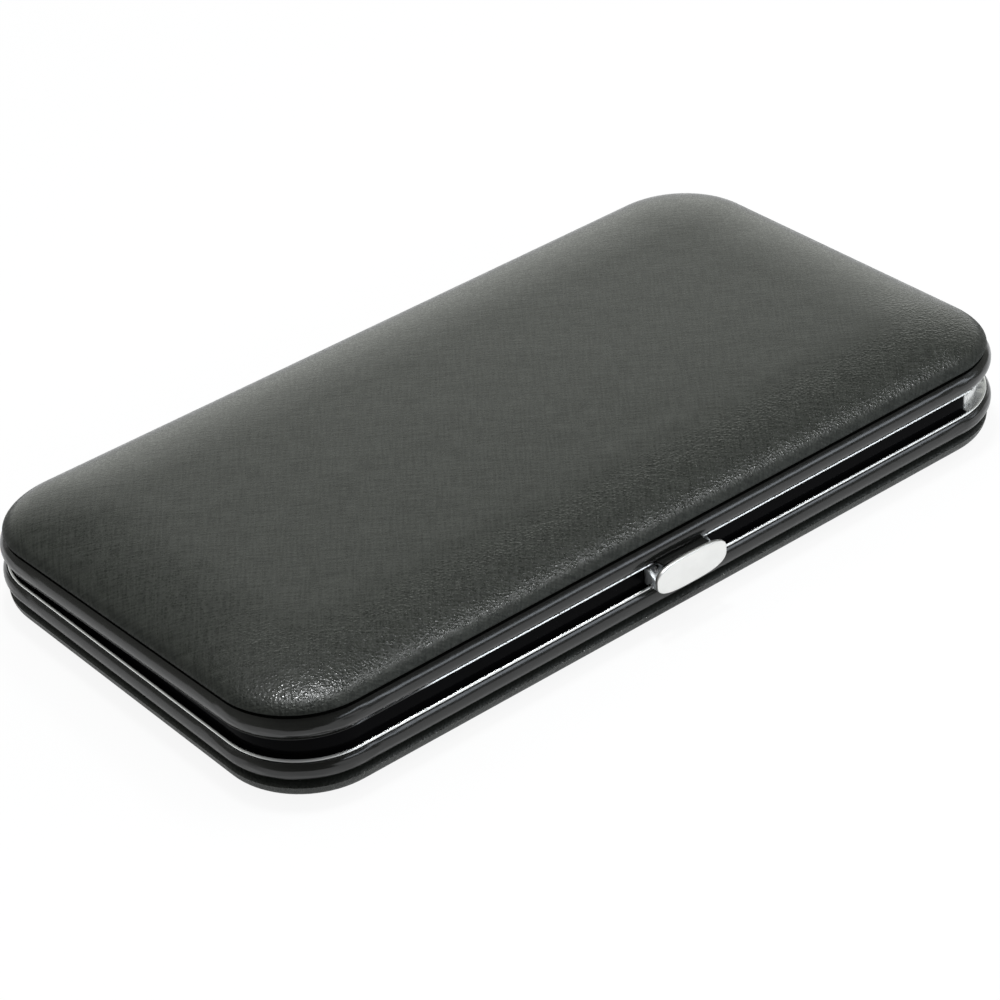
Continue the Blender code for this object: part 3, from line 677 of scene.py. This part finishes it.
def layer_section(depth, thick, half, squeezed=False):
    """A layer from its outside to its inside, which may follow the leather's groove."""
    rim = HEM_TOP + GAP
    outside = crown_line(depth, LAYER_STEPS[0], rim, half)
    inside = crown_line(depth + thick, LAYER_STEPS[1], rim, half)[::-1]
    return (tucked(outside, half) if squeezed else outside) + inside


print("sections: crown", round(1000 * CROWN_H, 2), "mm high over", round(1000 * CROWN_RUN, 1), "mm")

# %% [markdown]
# Leather over foam never lies perfectly even. A small cloth is laid on the crown, pinned along the
# seam, and blown up from below, as the foam does. A small share of its movement, which is capped at a
# fraction of a millimetre, is added to the finely made cover, so the measured outline stays true.

# %% The leather settles on the foam
SETTLE_SHARE = 0.09
SETTLE_CAP = 0.0002
SETTLE_FRAMES = 14
CLOTH_STEP = 0.0026
CLOTH_DROP = 0.0004
CLOTH_MARGIN = 0.0004
PIN_REACH = 0.004
HOLD_REACH = 0.006
NEAR_SOFT = 0.0004
CLOTH_SETTINGS = {
    "quality": 6,
    "mass": 0.15,
    "tension_stiffness": 18,
    "compression_stiffness": 18,
    "bending_stiffness": 2.0,
    "vertex_group_mass": "pins",
    "use_pressure": True,
    "uniform_pressure_force": 1.2,
}


def inset_of(place):
    """How far inside the outline a point of the plan lies."""
    low, high = 0.0, WIDTH / 2
    for _ in range(26):
        inset = (low + high) / 2
        radius = max(CORNER_R - CORNER_EASE * inset, 0.0)
        past_x = max(abs(place.x) - (LENGTH / 2 - inset - radius), 0.0)
        past_y = max(abs(place.y) - (WIDTH / 2 - inset - radius), 0.0)
        inside = hypot(past_x, past_y) <= radius if radius else past_x == past_y == 0.0
        low, high = (inset, high) if inside else (low, inset)
    return low


def lid_crown_height(inset):
    share = min(max((inset - CROWN_START) / CROWN_RUN, 0.0), 1.0)
    power = FULLNESS["lid"]
    return CROWN_H * (1 - (1 - share) ** power) ** (1 / power)


def cloth_sheet():
    """A grid over the lid's crown, a little lower than the cover, with its border pinned."""
    columns, rows = round(LENGTH / CLOTH_STEP), round(WIDTH / CLOTH_STEP)
    bm = bmesh.new()
    bmesh.ops.create_grid(bm, x_segments=columns, y_segments=rows, size=0.5)
    for vert in bm.verts:
        vert.co = Vector((vert.co.x * LENGTH, vert.co.y * WIDTH, 0))
    insets = {vert: inset_of(vert.co) for vert in bm.verts}
    outside = [vert for vert in bm.verts if insets[vert] < CROWN_START + CLOTH_MARGIN]
    bmesh.ops.delete(bm, geom=outside, context="VERTS")
    for vert in bm.verts:
        vert.co.z = lid_crown_height(insets[vert]) - CLOTH_DROP
    sheet = linked("settling_cloth", mesh_of(bm, "settling_cloth"))
    pins = sheet.vertex_groups.new(name="pins")
    for vert in sheet.data.vertices:
        near = inset_of(vert.co) - CROWN_START
        pins.add([vert.index], max(0.0, 1 - near / PIN_REACH), "REPLACE")
    return sheet


def settled():
    """Where the cloth's points were and how far each rose above its start."""
    sheet = cloth_sheet()
    start = [vert.co.copy() for vert in sheet.data.vertices]
    cloth = sheet.modifiers.new("cloth", "CLOTH")
    for key, value in CLOTH_SETTINGS.items():
        setattr(cloth.settings, key, value)
    cloth.settings.effector_weights.gravity = 0.0
    cloth.point_cache.frame_end = SETTLE_FRAMES
    for number in range(1, SETTLE_FRAMES + 1):
        bpy.context.scene.frame_set(number)
    graph = bpy.context.evaluated_depsgraph_get()
    after = sheet.evaluated_get(graph).to_mesh()
    rise = [after.vertices[i].co.z - place.z for i, place in enumerate(start)]
    bpy.data.objects.remove(sheet, do_unlink=True)
    bpy.context.scene.frame_set(1)
    return start, rise


def settle(cover, places, rise):
    """Moves the cover's points as the cloth near them moved, less near the seam."""
    tree = KDTree(len(places))
    for i, place in enumerate(places):
        tree.insert((place.x, place.y, 0), i)
    tree.balance()
    mean = sum(rise) / len(rise)
    for vert in cover.data.vertices:
        near = tree.find_n((vert.co.x, vert.co.y, 0), 6)
        weights = [1 / (distance + NEAR_SOFT) for _, _, distance in near]
        moved = sum(w * rise[i] for w, (_, i, _) in zip(weights, near)) / sum(weights) - mean
        hold = min(max((inset_of(vert.co) - CROWN_START) / HOLD_REACH, 0.0), 1.0)
        vert.co.z += hold * max(-SETTLE_CAP, min(SETTLE_CAP, SETTLE_SHARE * moved))
    print("settled, mm at most:", round(1000 * SETTLE_CAP, 2))

# %% [markdown]
# Both covers are the same work: one section round the outline, its grain laid on it as on the flat
# sheet, and for the lid, which everyone sees, the cloth's small unevenness.

# %% Covers
COVER_STRAIGHT_STEPS = 24


def make_cover(half):
    outside, inside = cover_section(half)
    flat = unrolled_insets(outside) + [inset for inset, _ in inside]
    # painted shade: how far each point lies in the crease beside the bead, where the leather finish
    # paints shade
    crease = [max(0.0, 1 - (z / CREASE_H[half]) ** 4) for _, z in outside + inside]
    points = on_half(outside + inside, half)
    marks = {"unrolled": flat, "crease": crease}
    cover = ring(f"{half}_cover", points, leather, straight_steps=COVER_STRAIGHT_STEPS, **marks)
    if half == "lid":
        settle(cover, *settled())
        face_out(cover.data)
    hand_over(cover, half, "black_leather", f"{half}_leather_cover")


for half in HALVES:
    make_cover(half)

# %% [markdown]
# Under the leather come the foam, the moulded board and the magnet sheet that holds the tweezers.
# They show only if the case is taken apart, but each is made as the thin layer that it is.

# %% Foam, boards and magnet sheets
MAGNET_INSET = 0.016
MAGNET_SOFT = MAGNET * 0.2
BOARD_DEPTH = LEATHER + FOAM + 2 * GAP
MAGNET_DEPTH = BOARD_DEPTH + BOARD + GAP


def make_layers(half):
    section = layer_section(LEATHER + GAP, FOAM, half, squeezed=half == "base")
    foam_pad = ring(f"{half}_foam", on_half(section, half), foam)
    hand_over(foam_pad, half, "foam", f"{half}_foam_pad")
    section = layer_section(BOARD_DEPTH, BOARD, half)
    shell = ring(f"{half}_shell", on_half(section, half), moulded_board)
    hand_over(shell, half, "moulded_board", f"{half}_board")
    top = CROWN_H - MAGNET_DEPTH
    section = [
        (WIDTH / 2, top),
        (MAGNET_INSET + MAGNET_SOFT, top),
        (MAGNET_INSET, top - MAGNET_SOFT),
        (MAGNET_INSET, top - MAGNET + MAGNET_SOFT),
        (MAGNET_INSET + MAGNET_SOFT, top - MAGNET),
        (WIDTH / 2, top - MAGNET),
    ]
    sheet = ring(f"{half}_magnet", on_half(section, half), magnet_skin)
    hand_over(sheet, half, "magnet_sheet", f"{half}_magnet_sheet")


for half in HALVES:
    make_layers(half)

# %% [markdown]
# The velvet is cut as one sheet, pressed into the board and brought out over the frame's web as a
# flange.

# %% Velvet linings
LINING_DEPTH = LEATHER + FOAM + BOARD + MAGNET + 4 * GAP
LINING_WALL = HEM_REACH + GAP
LINING_WALL_H = CROWN_H - LEATHER - FOAM - BOARD - MAGNET - LINING
LINING_SOFT = LINING * 0.4
DISH_STEPS = 12
LIP_CLEARANCE = {"base": GAP, "lid": 0.00065}  # the lid's flange swings past the lip


def dish_line(depth, wall, half):
    """Points from the centre line out along the dish to its wall."""
    share = (wall - CROWN_START - depth) / (CROWN_RUN - depth)
    start = acos((1 - share) ** (FULLNESS[half] / 2))
    run = (start - pi / 2) / DISH_STEPS
    angles = [pi / 2 + run * step for step in range(1, DISH_STEPS + 1)]
    top = [(inset, CROWN_H - depth) for inset in (WIDTH / 2, CROWN_START + CROWN_RUN)]
    return top + [crown_point(depth, angle, half) for angle in angles]


def lining_section(half, edge):
    wall, top, soft = LINING_WALL, -WEB - GAP, LINING_SOFT
    flange = [
        (wall, top + soft),
        (wall - soft, top),
        (edge + soft, top),
        (edge, top - soft),
        (edge + soft / 2, top - LINING),
        (wall + LINING - soft, top - LINING),
        (wall + LINING, top - LINING + soft),
    ]
    inside = dish_line(LINING_DEPTH + LINING, wall + LINING, half)
    return dish_line(LINING_DEPTH, wall, half) + flange + inside[::-1]


def make_lining(half):
    edge = LIP_INSET + LIP + LIP_CLEARANCE[half]
    lining = ring(f"{half}_velvet", on_half(lining_section(half, edge), half), velvet)
    grow = 2 * (LINING_WALL_H * 0.5 - edge)
    WIDTH + grow
    LENGTH + grow
    hand_over(lining, half, "velvet", f"{half}_lining")


for half in HALVES:
    make_lining(half)

# %% [markdown]
# Each bead is one strip: a rounded outside, a web turned in at the seam, and a free edge. The lid's
# free edge ends in a small hem, whose sharp face is where the paint has worn off, and it has a notch
# where the catch comes out. A Boolean cuts it, which is simpler here than a section with a hole.

# %% Beads
BEAD_WALL = 0.0006
BEAD_STEPS = 18
BEAD_ROUND = 2.2
HEM_H = 0.00036
HEM_DROP = 0.00006
HEM_OUT = 0.00022
BASE_BEAD = {"edge": 0.0006, "bulge": 0.0, "seam": 0.0007}
LID_BEAD = {"edge": 0.00107, "bulge": 0.0001, "seam": 0.00108}
# how far out and up the hem's points lie, as shares of HEM_OUT and HEM_H
HEM_SHAPE = [(0.7, 0.0), (0.96, 0.08), (1.0, 0.22), (0.36, 1.0), (0.3, 1.06)]
HEM_BARE = [0.0, 1.0, 1.0, 1.0]
LID_STRAIGHT_STEPS = 30  # close points keep the worn mark beside the notch
CATCH = 0.00045
CATCH_OVER_EDGE = 0.00015
NOTCH_OUT = 0.001
NOTCH_BELOW = 0.0005


def bead_section(edge, bulge, seam, start, end):
    """The points of a bead and how bare each is. One that goes up, the lid's, has a hem."""
    outside = []
    for step in range(BEAD_STEPS + 1):
        u = -1 + 2 * step / BEAD_STEPS
        reach = edge if u < 0 else seam
        inset = bulge + (reach - bulge) * abs(u) ** BEAD_ROUND
        outside.append((inset, start + (end - start) * step / BEAD_STEPS))
    inner = [(inset + BEAD_WALL, z) for inset, z in outside]
    wall = [point for point in inner[:-1] if abs(point[1] - end) > WEB]
    turn = WEB if end < start else -WEB
    web = [(WEB_REACH, end), (WEB_REACH, end + turn), (inner[-1][0], end + turn)]
    bare = []
    if end > start:
        hem = [(edge - HEM_OUT * out, start - HEM_DROP + HEM_H * up) for out, up in HEM_SHAPE]
        outside = hem + outside[2:]
        bare = HEM_BARE
    section = outside + web + wall[::-1]
    return section, bare + [0.0] * (len(section) - len(bare))


def notched(obj, low, high):
    """Cuts a block with these corners out of an object."""
    bm = bmesh.new()
    bmesh.ops.create_cube(bm, size=1)
    for vert in bm.verts:
        vert.co = Vector([low[i] + (vert.co[i] + 0.5) * (high[i] - low[i]) for i in range(3)])
    block = linked("notch_block", mesh_of(bm, "notch_block"))
    boolean = obj.modifiers.new("notch", "BOOLEAN")
    boolean.operation = "DIFFERENCE"
    boolean.solver = "EXACT"
    boolean.object = block
    keep_result(obj)
    bpy.data.objects.remove(block, do_unlink=True)


section, bare = bead_section(**BASE_BEAD, start=RIM_Z - RIM_FLANGE - GAP, end=BASE_SEAM_Z)
base_bead = ring("base_bead", section, bead_paint, closed=True, bare=bare)
hand_over(base_bead, "base", "black_bead", "base_frame")

section, bare = bead_section(**LID_BEAD, start=LID_Z, end=LID_SEAM_Z)
lid_bead = ring("lid_bead", section, bead_paint, True, LID_STRAIGHT_STEPS, bare=bare)
edge_y = FRONT_Y + RIM_EDGE_INSET
notch_top = LID_Z + CATCH_OVER_EDGE + CATCH + NOTCH_GAP
corner = (-NOTCH_HALF, edge_y - NOTCH_OUT, LID_Z - NOTCH_BELOW)
notched(lid_bead, corner, (NOTCH_HALF, edge_y + LIP_INSET, notch_top))
hand_over(lid_bead, "lid", "black_bead", "lid_frame")

# %% [markdown]
# The inner rim is folded from one strip too. Its flange lies on the base's bead and ends in a rounded,
# polished edge, and its lip stands up inside the lid.

# %% Inner rim
EDGE_ROLL = 0.00004
EDGE_DROP = 0.0002


def arc(inset, height, radius, turns):
    """Points on a circle round this one, at these turns in degrees."""
    angles = [radians(turn) for turn in turns]
    return [(inset + radius * cos(turn), height + radius * sin(turn)) for turn in angles]


def rim_section():
    """The points of the rim and how bare each is."""
    edge_r = RIM_FLANGE / 2 + EDGE_ROLL
    lip_r = LIP / 2
    lip_in = LIP_INSET + LIP
    foot = BASE_SEAM_Z + WEB + GAP
    middle = RIM_Z - edge_r - EDGE_DROP
    beside = RIM_EDGE_INSET + edge_r + RIM_FLANGE * 0.06
    lip = arc(lip_in - lip_r, RIM_Z + LIP_H - lip_r, lip_r, range(0, 181, 30))
    over = [(lip_in, foot)] + lip + [(LIP_INSET, RIM_Z), (beside, middle + edge_r)]
    edge = arc(RIM_EDGE_INSET + edge_r, middle, edge_r, range(90, 271, 20))
    under = [(beside, middle - edge_r), (LIP_INSET, middle - edge_r), (LIP_INSET, foot)]
    return over + edge + under, [0.0] * len(over) + [1.0] * len(edge) + [0.0] * len(under)


section, bare = rim_section()
inner_rim = ring("inner_rim", section, rim_plating, closed=True, bare=bare)
hand_over(inner_rim, "base", "black_nickel", "base_inner_rim")

# %% [markdown]
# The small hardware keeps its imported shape, which is right, but every real edge is slightly broken.
# Each piece is copied from its node, its flat faces are joined up again, and a Bevel softens it.

# %% Softened hardware
def softened(node, name, width, material, body, slot):
    mesh = frame["nodes"][node].data.copy()
    bm = bmesh.new()
    bm.from_mesh(mesh)
    bmesh.ops.remove_doubles(bm, verts=bm.verts, dist=FINE_WELD)
    bmesh.ops.dissolve_limit(bm, angle_limit=radians(1), verts=bm.verts, edges=bm.edges)
    bmesh.ops.recalc_face_normals(bm, faces=bm.faces)
    bm.to_mesh(mesh)
    bm.free()
    mesh.materials.clear()
    mesh.materials.append(material)
    obj = linked(name, mesh)
    bevel = obj.modifiers.new("broken_edges", "BEVEL")
    bevel.width = width
    bevel.segments = 2
    bevel.limit_method = "ANGLE"
    bevel.angle_limit = radians(40)
    bevel.use_clamp_overlap = True
    keep_result(obj)
    hand_over(obj, body, slot, node, ajar=True)


for side in SIDES:
    for half in HALVES:
        leaf = f"{side}_hinge_{half}_leaf"
        softened(f"hinge_{side}_{half}_leaf", leaf, 0.00008, hinge_steel, half, "hinge_steel")
    softened(f"hinge_{side}_pin", f"{side}_hinge_pin", 0.00006, rivet_steel, "base", "bright_steel")
softened("clasp_bracket", "clasp_channel", 0.00007, nickel, "base", "clasp_plate")
softened("clasp_arm", "clasp_rocker", 0.00006, nickel, "clasp", "clasp_plate")
softened("lid_catch", "catch_plate", 0.00007, bead_paint, "lid", "blackened_steel")
softened("clasp_pin", "clasp_axle", 0.00004, rivet_steel, "base", "bright_steel")
softened("clasp_spacer", "clasp_sleeve", 0.00004, rivet_steel, "base", "bright_steel")

# %% [markdown]
# Rivets repeat, so one tree makes them all. It joins a flattened dome and a cylinder and sets a copy
# on each point that it is given, pointing the way that the point says. The points are read from the
# packed rivets, so each copy lands in its own hole.

# %% Rivets
RIVET_HEAD_H = 0.00045
RIVET_SHANK_R = 0.00045


def make_rivet_tree():
    lengths = ("Head Radius", "Head Height", "Shank Radius", "Shank Length")
    tree, graph, wires = new_tree("rivets_on_points", lengths)
    width, height, shank_r, shank_l = [wires[label] for label in lengths]
    dome = graph.shape("MeshUVSphere", Segments=28, Rings=18, Radius=1.0)
    x, y, z = graph.parts(graph.shape("InputPosition"))
    lifted = z.math("MAXIMUM", 0.0) * height
    shaped = graph.vector(x * width, y * width, lifted)
    head = graph.shape("SetPosition", Geometry=dome, Position=shaped)
    shank = graph.shape("MeshCylinder", Vertices=20, Radius=shank_r, Depth=shank_l)
    down = graph.vector(0.0, 0.0, shank_l * -0.5)
    shank = graph.shape("SetPosition", Geometry=shank, Offset=down)
    join = graph.shape("JoinGeometry", Geometry=head)
    graph.feed(join.socket.node.inputs[0], shank)
    rivet = graph.shape("MergeByDistance", Geometry=join, Distance=FINE_WELD)
    way = named(graph, "points_to", "FLOAT_VECTOR")
    facing = graph.node("FunctionNodeAlignEulerToVector", {"Vector": way}, axis="Z")
    points = wires["Geometry"]
    copies = graph.shape("InstanceOnPoints", Points=points, Instance=rivet, Rotation=facing)
    finish_tree(graph, copies, wires["Material"])
    return tree


rivet_tree = make_rivet_tree()


def rivets(name, nodes, towards, head_r, body):
    """Rivets for these nodes, with their heads at the end of each node's box that this way faces."""
    way = Vector(towards)
    if body == "lid":
        way = AJAR.to_3x3() @ way
    places, lengths = [], []
    for node in nodes:
        reach = [way.dot(vert.co) for vert in frame["nodes"][node].data.vertices]
        head_foot = max(reach) - RIVET_HEAD_H
        low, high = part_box(node)
        centre = (low + high) / 2
        places.append(centre + way * (head_foot - way.dot(centre)))
        lengths.append(head_foot - min(reach))
    source = bpy.data.meshes.new(name)
    source.from_pydata(places, [], [])
    ways = source.attributes.new("points_to", "FLOAT_VECTOR", "POINT")
    ways.data.foreach_set("vector", [part for _ in places for part in way])
    inputs = {
        "Head Radius": head_r,
        "Head Height": RIVET_HEAD_H,
        "Shank Radius": RIVET_SHANK_R,
        "Shank Length": max(lengths),
        "Material": rivet_steel,
    }
    hand_over(grown(name, rivet_tree, source, inputs), body, "bright_steel", *nodes, ajar=True)


for half in HALVES:
    nodes = [f"hinge_{side}_{half}_rivet_{which}" for side in SIDES for which in ("outer", "inner")]
    rivets(f"{half}_hinge_rivets", nodes, (0, 1, 0), 0.0009, half)
rivets("channel_rivets", [f"clasp_bracket_rivet_{side}" for side in SIDES], (0, -1, 0), 0.00072, "base")
rivets("catch_rivets", [f"lid_catch_rivet_{side}" for side in SIDES], (0, 0, -1), 0.00054, "lid")

# %% [markdown]
# The clasp's torsion spring is one wire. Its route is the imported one: a leg against the channel, four
# turns round the axle and a leg behind the rocker. The tree gives the wire its thickness.

# %% Spring
SPRING_WIRE = 0.00024
SPRING_TURNS = 4
SPRING_STEPS = 24
AXLE_R = 0.0003
AXLE_CLEARANCE = 0.0001
HARDWARE_GAP = 0.0003
LEG_OFF_BACK = 0.0005


def make_wire_tree():
    tree, graph, wires = new_tree("wire_on_a_route", ["Radius"])
    route = graph.shape("MeshToCurve", Mesh=wires["Geometry"])
    section = circle(graph, 10, wires["Radius"])
    wire = graph.shape("CurveToMesh", Curve=route, Profile_Curve=section, Fill_Caps=True)
    finish_tree(graph, wire, wires["Material"])
    return tree


def spring_route():
    low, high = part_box("clasp_spring")
    axle_low, axle_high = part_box("clasp_pin")
    centre = (axle_low + axle_high) / 2
    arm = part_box("clasp_arm")[1]
    radius = AXLE_R + AXLE_CLEARANCE + SPRING_WIRE
    start_x = low.x + SPRING_WIRE / 2
    end_x = -(arm.x + HARDWARE_GAP + SPRING_WIRE)
    leg_y = (arm.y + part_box("clasp_bracket")[1].y - LEG_OFF_BACK) / 2
    leg_z = centre.z + 5 * AXLE_R
    points = [(start_x, high.y - SPRING_WIRE / 2, leg_z)]
    count = SPRING_TURNS * SPRING_STEPS
    for step in range(count + 1):
        turn = 2 * pi * step / SPRING_STEPS
        x = start_x + (end_x - start_x) * step / count
        points.append((x, centre.y + radius * cos(turn), centre.z - radius * sin(turn)))
    return points + [(end_x, leg_y, leg_z), (-arm.x / 2, leg_y, leg_z + SPRING_WIRE)]


points = spring_route()
route = bpy.data.meshes.new("torsion_spring")
route.from_pydata(points, [(i, i + 1) for i in range(len(points) - 1)], [])
inputs = {"Radius": SPRING_WIRE / 2, "Material": rivet_steel}
spring = grown("torsion_spring", make_wire_tree(), route, inputs)
hand_over(spring, "base", "bright_steel", "clasp_spring")

# %% [markdown]
# The button is what the eye goes to first, so it is drawn finely: an oval between an ellipse and a
# rounded bar, with a bright rounded edge and a nearly flat face. Loops of one curve, each a little
# smaller than the last, follow that shape more closely than a Bevel on a cylinder would.

# %% Button
OVAL_POWER = 3.0
OVAL_STEPS = 96
BUTTON_THICK = 0.0009
BUTTON_SOFT = BUTTON_THICK * 0.3
# how deep and how far inside the edge each loop lies, as shares of BUTTON_SOFT
BACK_EDGE = [(0.0, 1.0), (0.4, 0.3), (1.0, 0.0)]
FRONT_EDGE = [(1.0, 0.0), (0.45, 0.2), (0.12, 0.7), (0.0, 1.3)]


def oval(half_width, half_height):
    turns = [2 * pi * step / OVAL_STEPS for step in range(OVAL_STEPS)]
    ways = [(cos(turn), sin(turn)) for turn in turns]
    full = [[copysign(abs(part) ** (2 / OVAL_POWER), part) for part in way] for way in ways]
    return [(x * half_width, z * half_height) for x, z in full]


def make_button():
    low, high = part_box("clasp_button")
    centre = (low + high) / 2
    half_width, half_height = (high.x - low.x) / 2, (high.z - low.z) / 2
    soft = BUTTON_SOFT
    rings = [(BUTTON_THICK - soft * depth, soft * inset) for depth, inset in BACK_EDGE]
    rings += [(soft * depth, soft * inset) for depth, inset in FRONT_EDGE]
    bm = bmesh.new()
    loops = []
    for back, inset in rings:
        points = oval(half_width - inset, half_height - inset)
        loops.append([bm.verts.new((centre.x + x, low.y + back, centre.z + z)) for x, z in points])
    for first, second in zip(loops, loops[1:]):
        for i in range(OVAL_STEPS):
            j = (i + 1) % OVAL_STEPS
            bm.faces.new((first[i], first[j], second[j], second[i]))
    bm.faces.new(loops[0])
    bm.faces.new(loops[-1])
    mesh = mesh_of(bm, "oval_button")
    mesh.materials.append(silver)
    face_out(mesh)
    hand_over(linked("oval_button", mesh), "clasp", "silver_button", "clasp_button")


make_button()

# %% [markdown]
# The floor is a plain pale plane. The camera sees it nearly white, with the case's soft shadow still
# on it, through Light Path, so that no extra light falls on the case. The surroundings light the case
# evenly, but what it mirrors is darker above the front and brighter low at the back. That is how a
# table in front of a white background looks in polished things, and it shapes the rounded edges.

# %% Floor and surroundings
FLOOR_REACH = 3.0
FLOOR_DROP = 0.0001
WHITE = (1.0, 1.0, 1.0)
DARK_SIDE = (-0.2, -0.76, 0.62)
BRIGHT_SIDE = (0.6, 0.8, -0.1)
SIDE_LIGHT = 0.45


def make_floor():
    mesh = bpy.data.meshes.new("floor")
    corners = [(-1, -1), (1, -1), (1, 1), (-1, 1)]
    mesh.from_pydata([(x * FLOOR_REACH, y * FLOOR_REACH, 0) for x, y in corners], [], [(0, 1, 2, 3)])
    floor = linked("floor", mesh)
    floor.location.z = -FLOOR_DROP
    material = bpy.data.materials.new("pale_floor")
    material.use_nodes = True
    graph = Graph(material.node_tree)
    graph.tree.nodes.clear()
    kinds = ("Is Camera Ray", "Is Glossy Ray", "Is Transmission Ray")
    camera, glossy, clear = [graph.node("ShaderNodeLightPath", output=kind) for kind in kinds]
    seen = (camera + (glossy + clear) * 0.22).math("MINIMUM", 1.0)
    matt = graph.node("ShaderNodeBsdfDiffuse", {"Color": (0.88, 0.88, 0.88, 1.0)})
    white = graph.node("ShaderNodeEmission", {"Color": (*WHITE, 1.0), "Strength": 1.0})
    mixed = graph.node("ShaderNodeMixShader", (seen * 0.9, matt, white))
    graph.end("ShaderNodeOutputMaterial", "Surface", mixed)
    mesh.materials.append(material)


def make_world():
    world = bpy.data.worlds.new("soft_room")
    world.use_nodes = True
    bpy.context.scene.world = world
    graph = Graph(world.node_tree)
    graph.tree.nodes.clear()
    camera = graph.node("ShaderNodeLightPath", output="Is Camera Ray")
    glossy = graph.node("ShaderNodeLightPath", output="Is Glossy Ray")
    way = graph.node("ShaderNodeTexCoord", output="Generated")
    to_dark, to_bright = [
        graph.node("ShaderNodeVectorMath", (way, side), "Value", operation="DOT_PRODUCT")
        for side in (DARK_SIDE, BRIGHT_SIDE)
    ]
    dark = graph.span(to_dark, 0.25, 0.95, 0.0, 0.7)
    mirrored = (1 - dark) * 0.3 + graph.span(to_bright, 0.65, 1.0, 0.0, 1.16)
    strength = (1 - glossy) * (SIDE_LIGHT + camera * (1 - SIDE_LIGHT)) + glossy * mirrored
    tint = graph.mix(glossy, WHITE, (0.98, 1.0, 0.945))
    light = graph.node("ShaderNodeBackground", {"Color": tint, "Strength": strength})
    graph.end("ShaderNodeOutputWorld", "Surface", light)
    print("surroundings:", len(world.node_tree.nodes), "nodes")


make_floor()
make_world()

# %% [markdown]
# A small strong box overhead makes the grain sparkle on the front left corner, and a longer, weaker one
# carries that along the front shoulder. A low strip at the front right draws the thin line along both
# beads, and a wide weak box fills the rest.

# %% Lights
CASE_MIDDLE = Vector((0.0, 0.0, 0.02))
COOL = (0.97, 0.99, 1.0)
COOLER = (0.86, 0.92, 1.0)


def soft_box(name, place, size, radiance, colour):
    """An area lamp that looks this bright, whatever its size, and faces the case."""
    data = bpy.data.lights.new(name, "AREA")
    data.shape = "RECTANGLE"
    data.size, data.size_y = size
    data.energy = radiance * pi * size[0] * size[1]
    data.color = colour
    lamp = linked(name, data)
    lamp.location = place
    lamp.rotation_euler = (CASE_MIDDLE - Vector(place)).to_track_quat("-Z", "Y").to_euler()
    print(f"{name}: {data.energy:.2f} W")


soft_box("key_box", (-0.04, -0.015, 0.82), (0.105, 0.085), 112, COOL)
soft_box("long_box", (0.36, -0.235, 0.74), (0.34, 0.05), 27, COOL)
soft_box("low_strip", (0.41, -0.7, 0.32), (0.9, 0.15), 4.5, COOLER)
soft_box("overhead_box", (-0.1, 0.3, 1.1), (0.9, 0.9), 0.6, WHITE)

# %% [markdown]
# The camera stands where the photograph was taken from: at the front left, some 34 degrees above the
# table, with a long lens and a slight roll. It starts right above the target, looking down, and three
# turns about the target bring it there.

# %% Camera
CAMERA_TARGET = (-0.00867, -0.00799, 0.0099)
CAMERA_DISTANCE = 0.6666
CAMERA_TURNS = [(-38.215, "Z"), (90 - 34.477, "X"), (-3.285, "Z")]
LENS_MM = 132.79


def make_camera():
    place = Matrix.Translation(CAMERA_TARGET)
    for turn, about in CAMERA_TURNS:
        place = place @ Matrix.Rotation(radians(turn), 4, about)
    data = bpy.data.cameras.new("camera")
    data.sensor_width = 36
    data.lens = LENS_MM
    data.clip_start = 0.01
    data.clip_end = 20
    camera = linked("camera", data)
    camera.matrix_world = place @ Matrix.Translation((0, 0, CAMERA_DISTANCE))
    bpy.context.scene.camera = camera
    print("camera:", [round(part, 3) for part in camera.matrix_world.translation])


make_camera()
bpy.context.scene.view_settings.view_transform = "Standard"
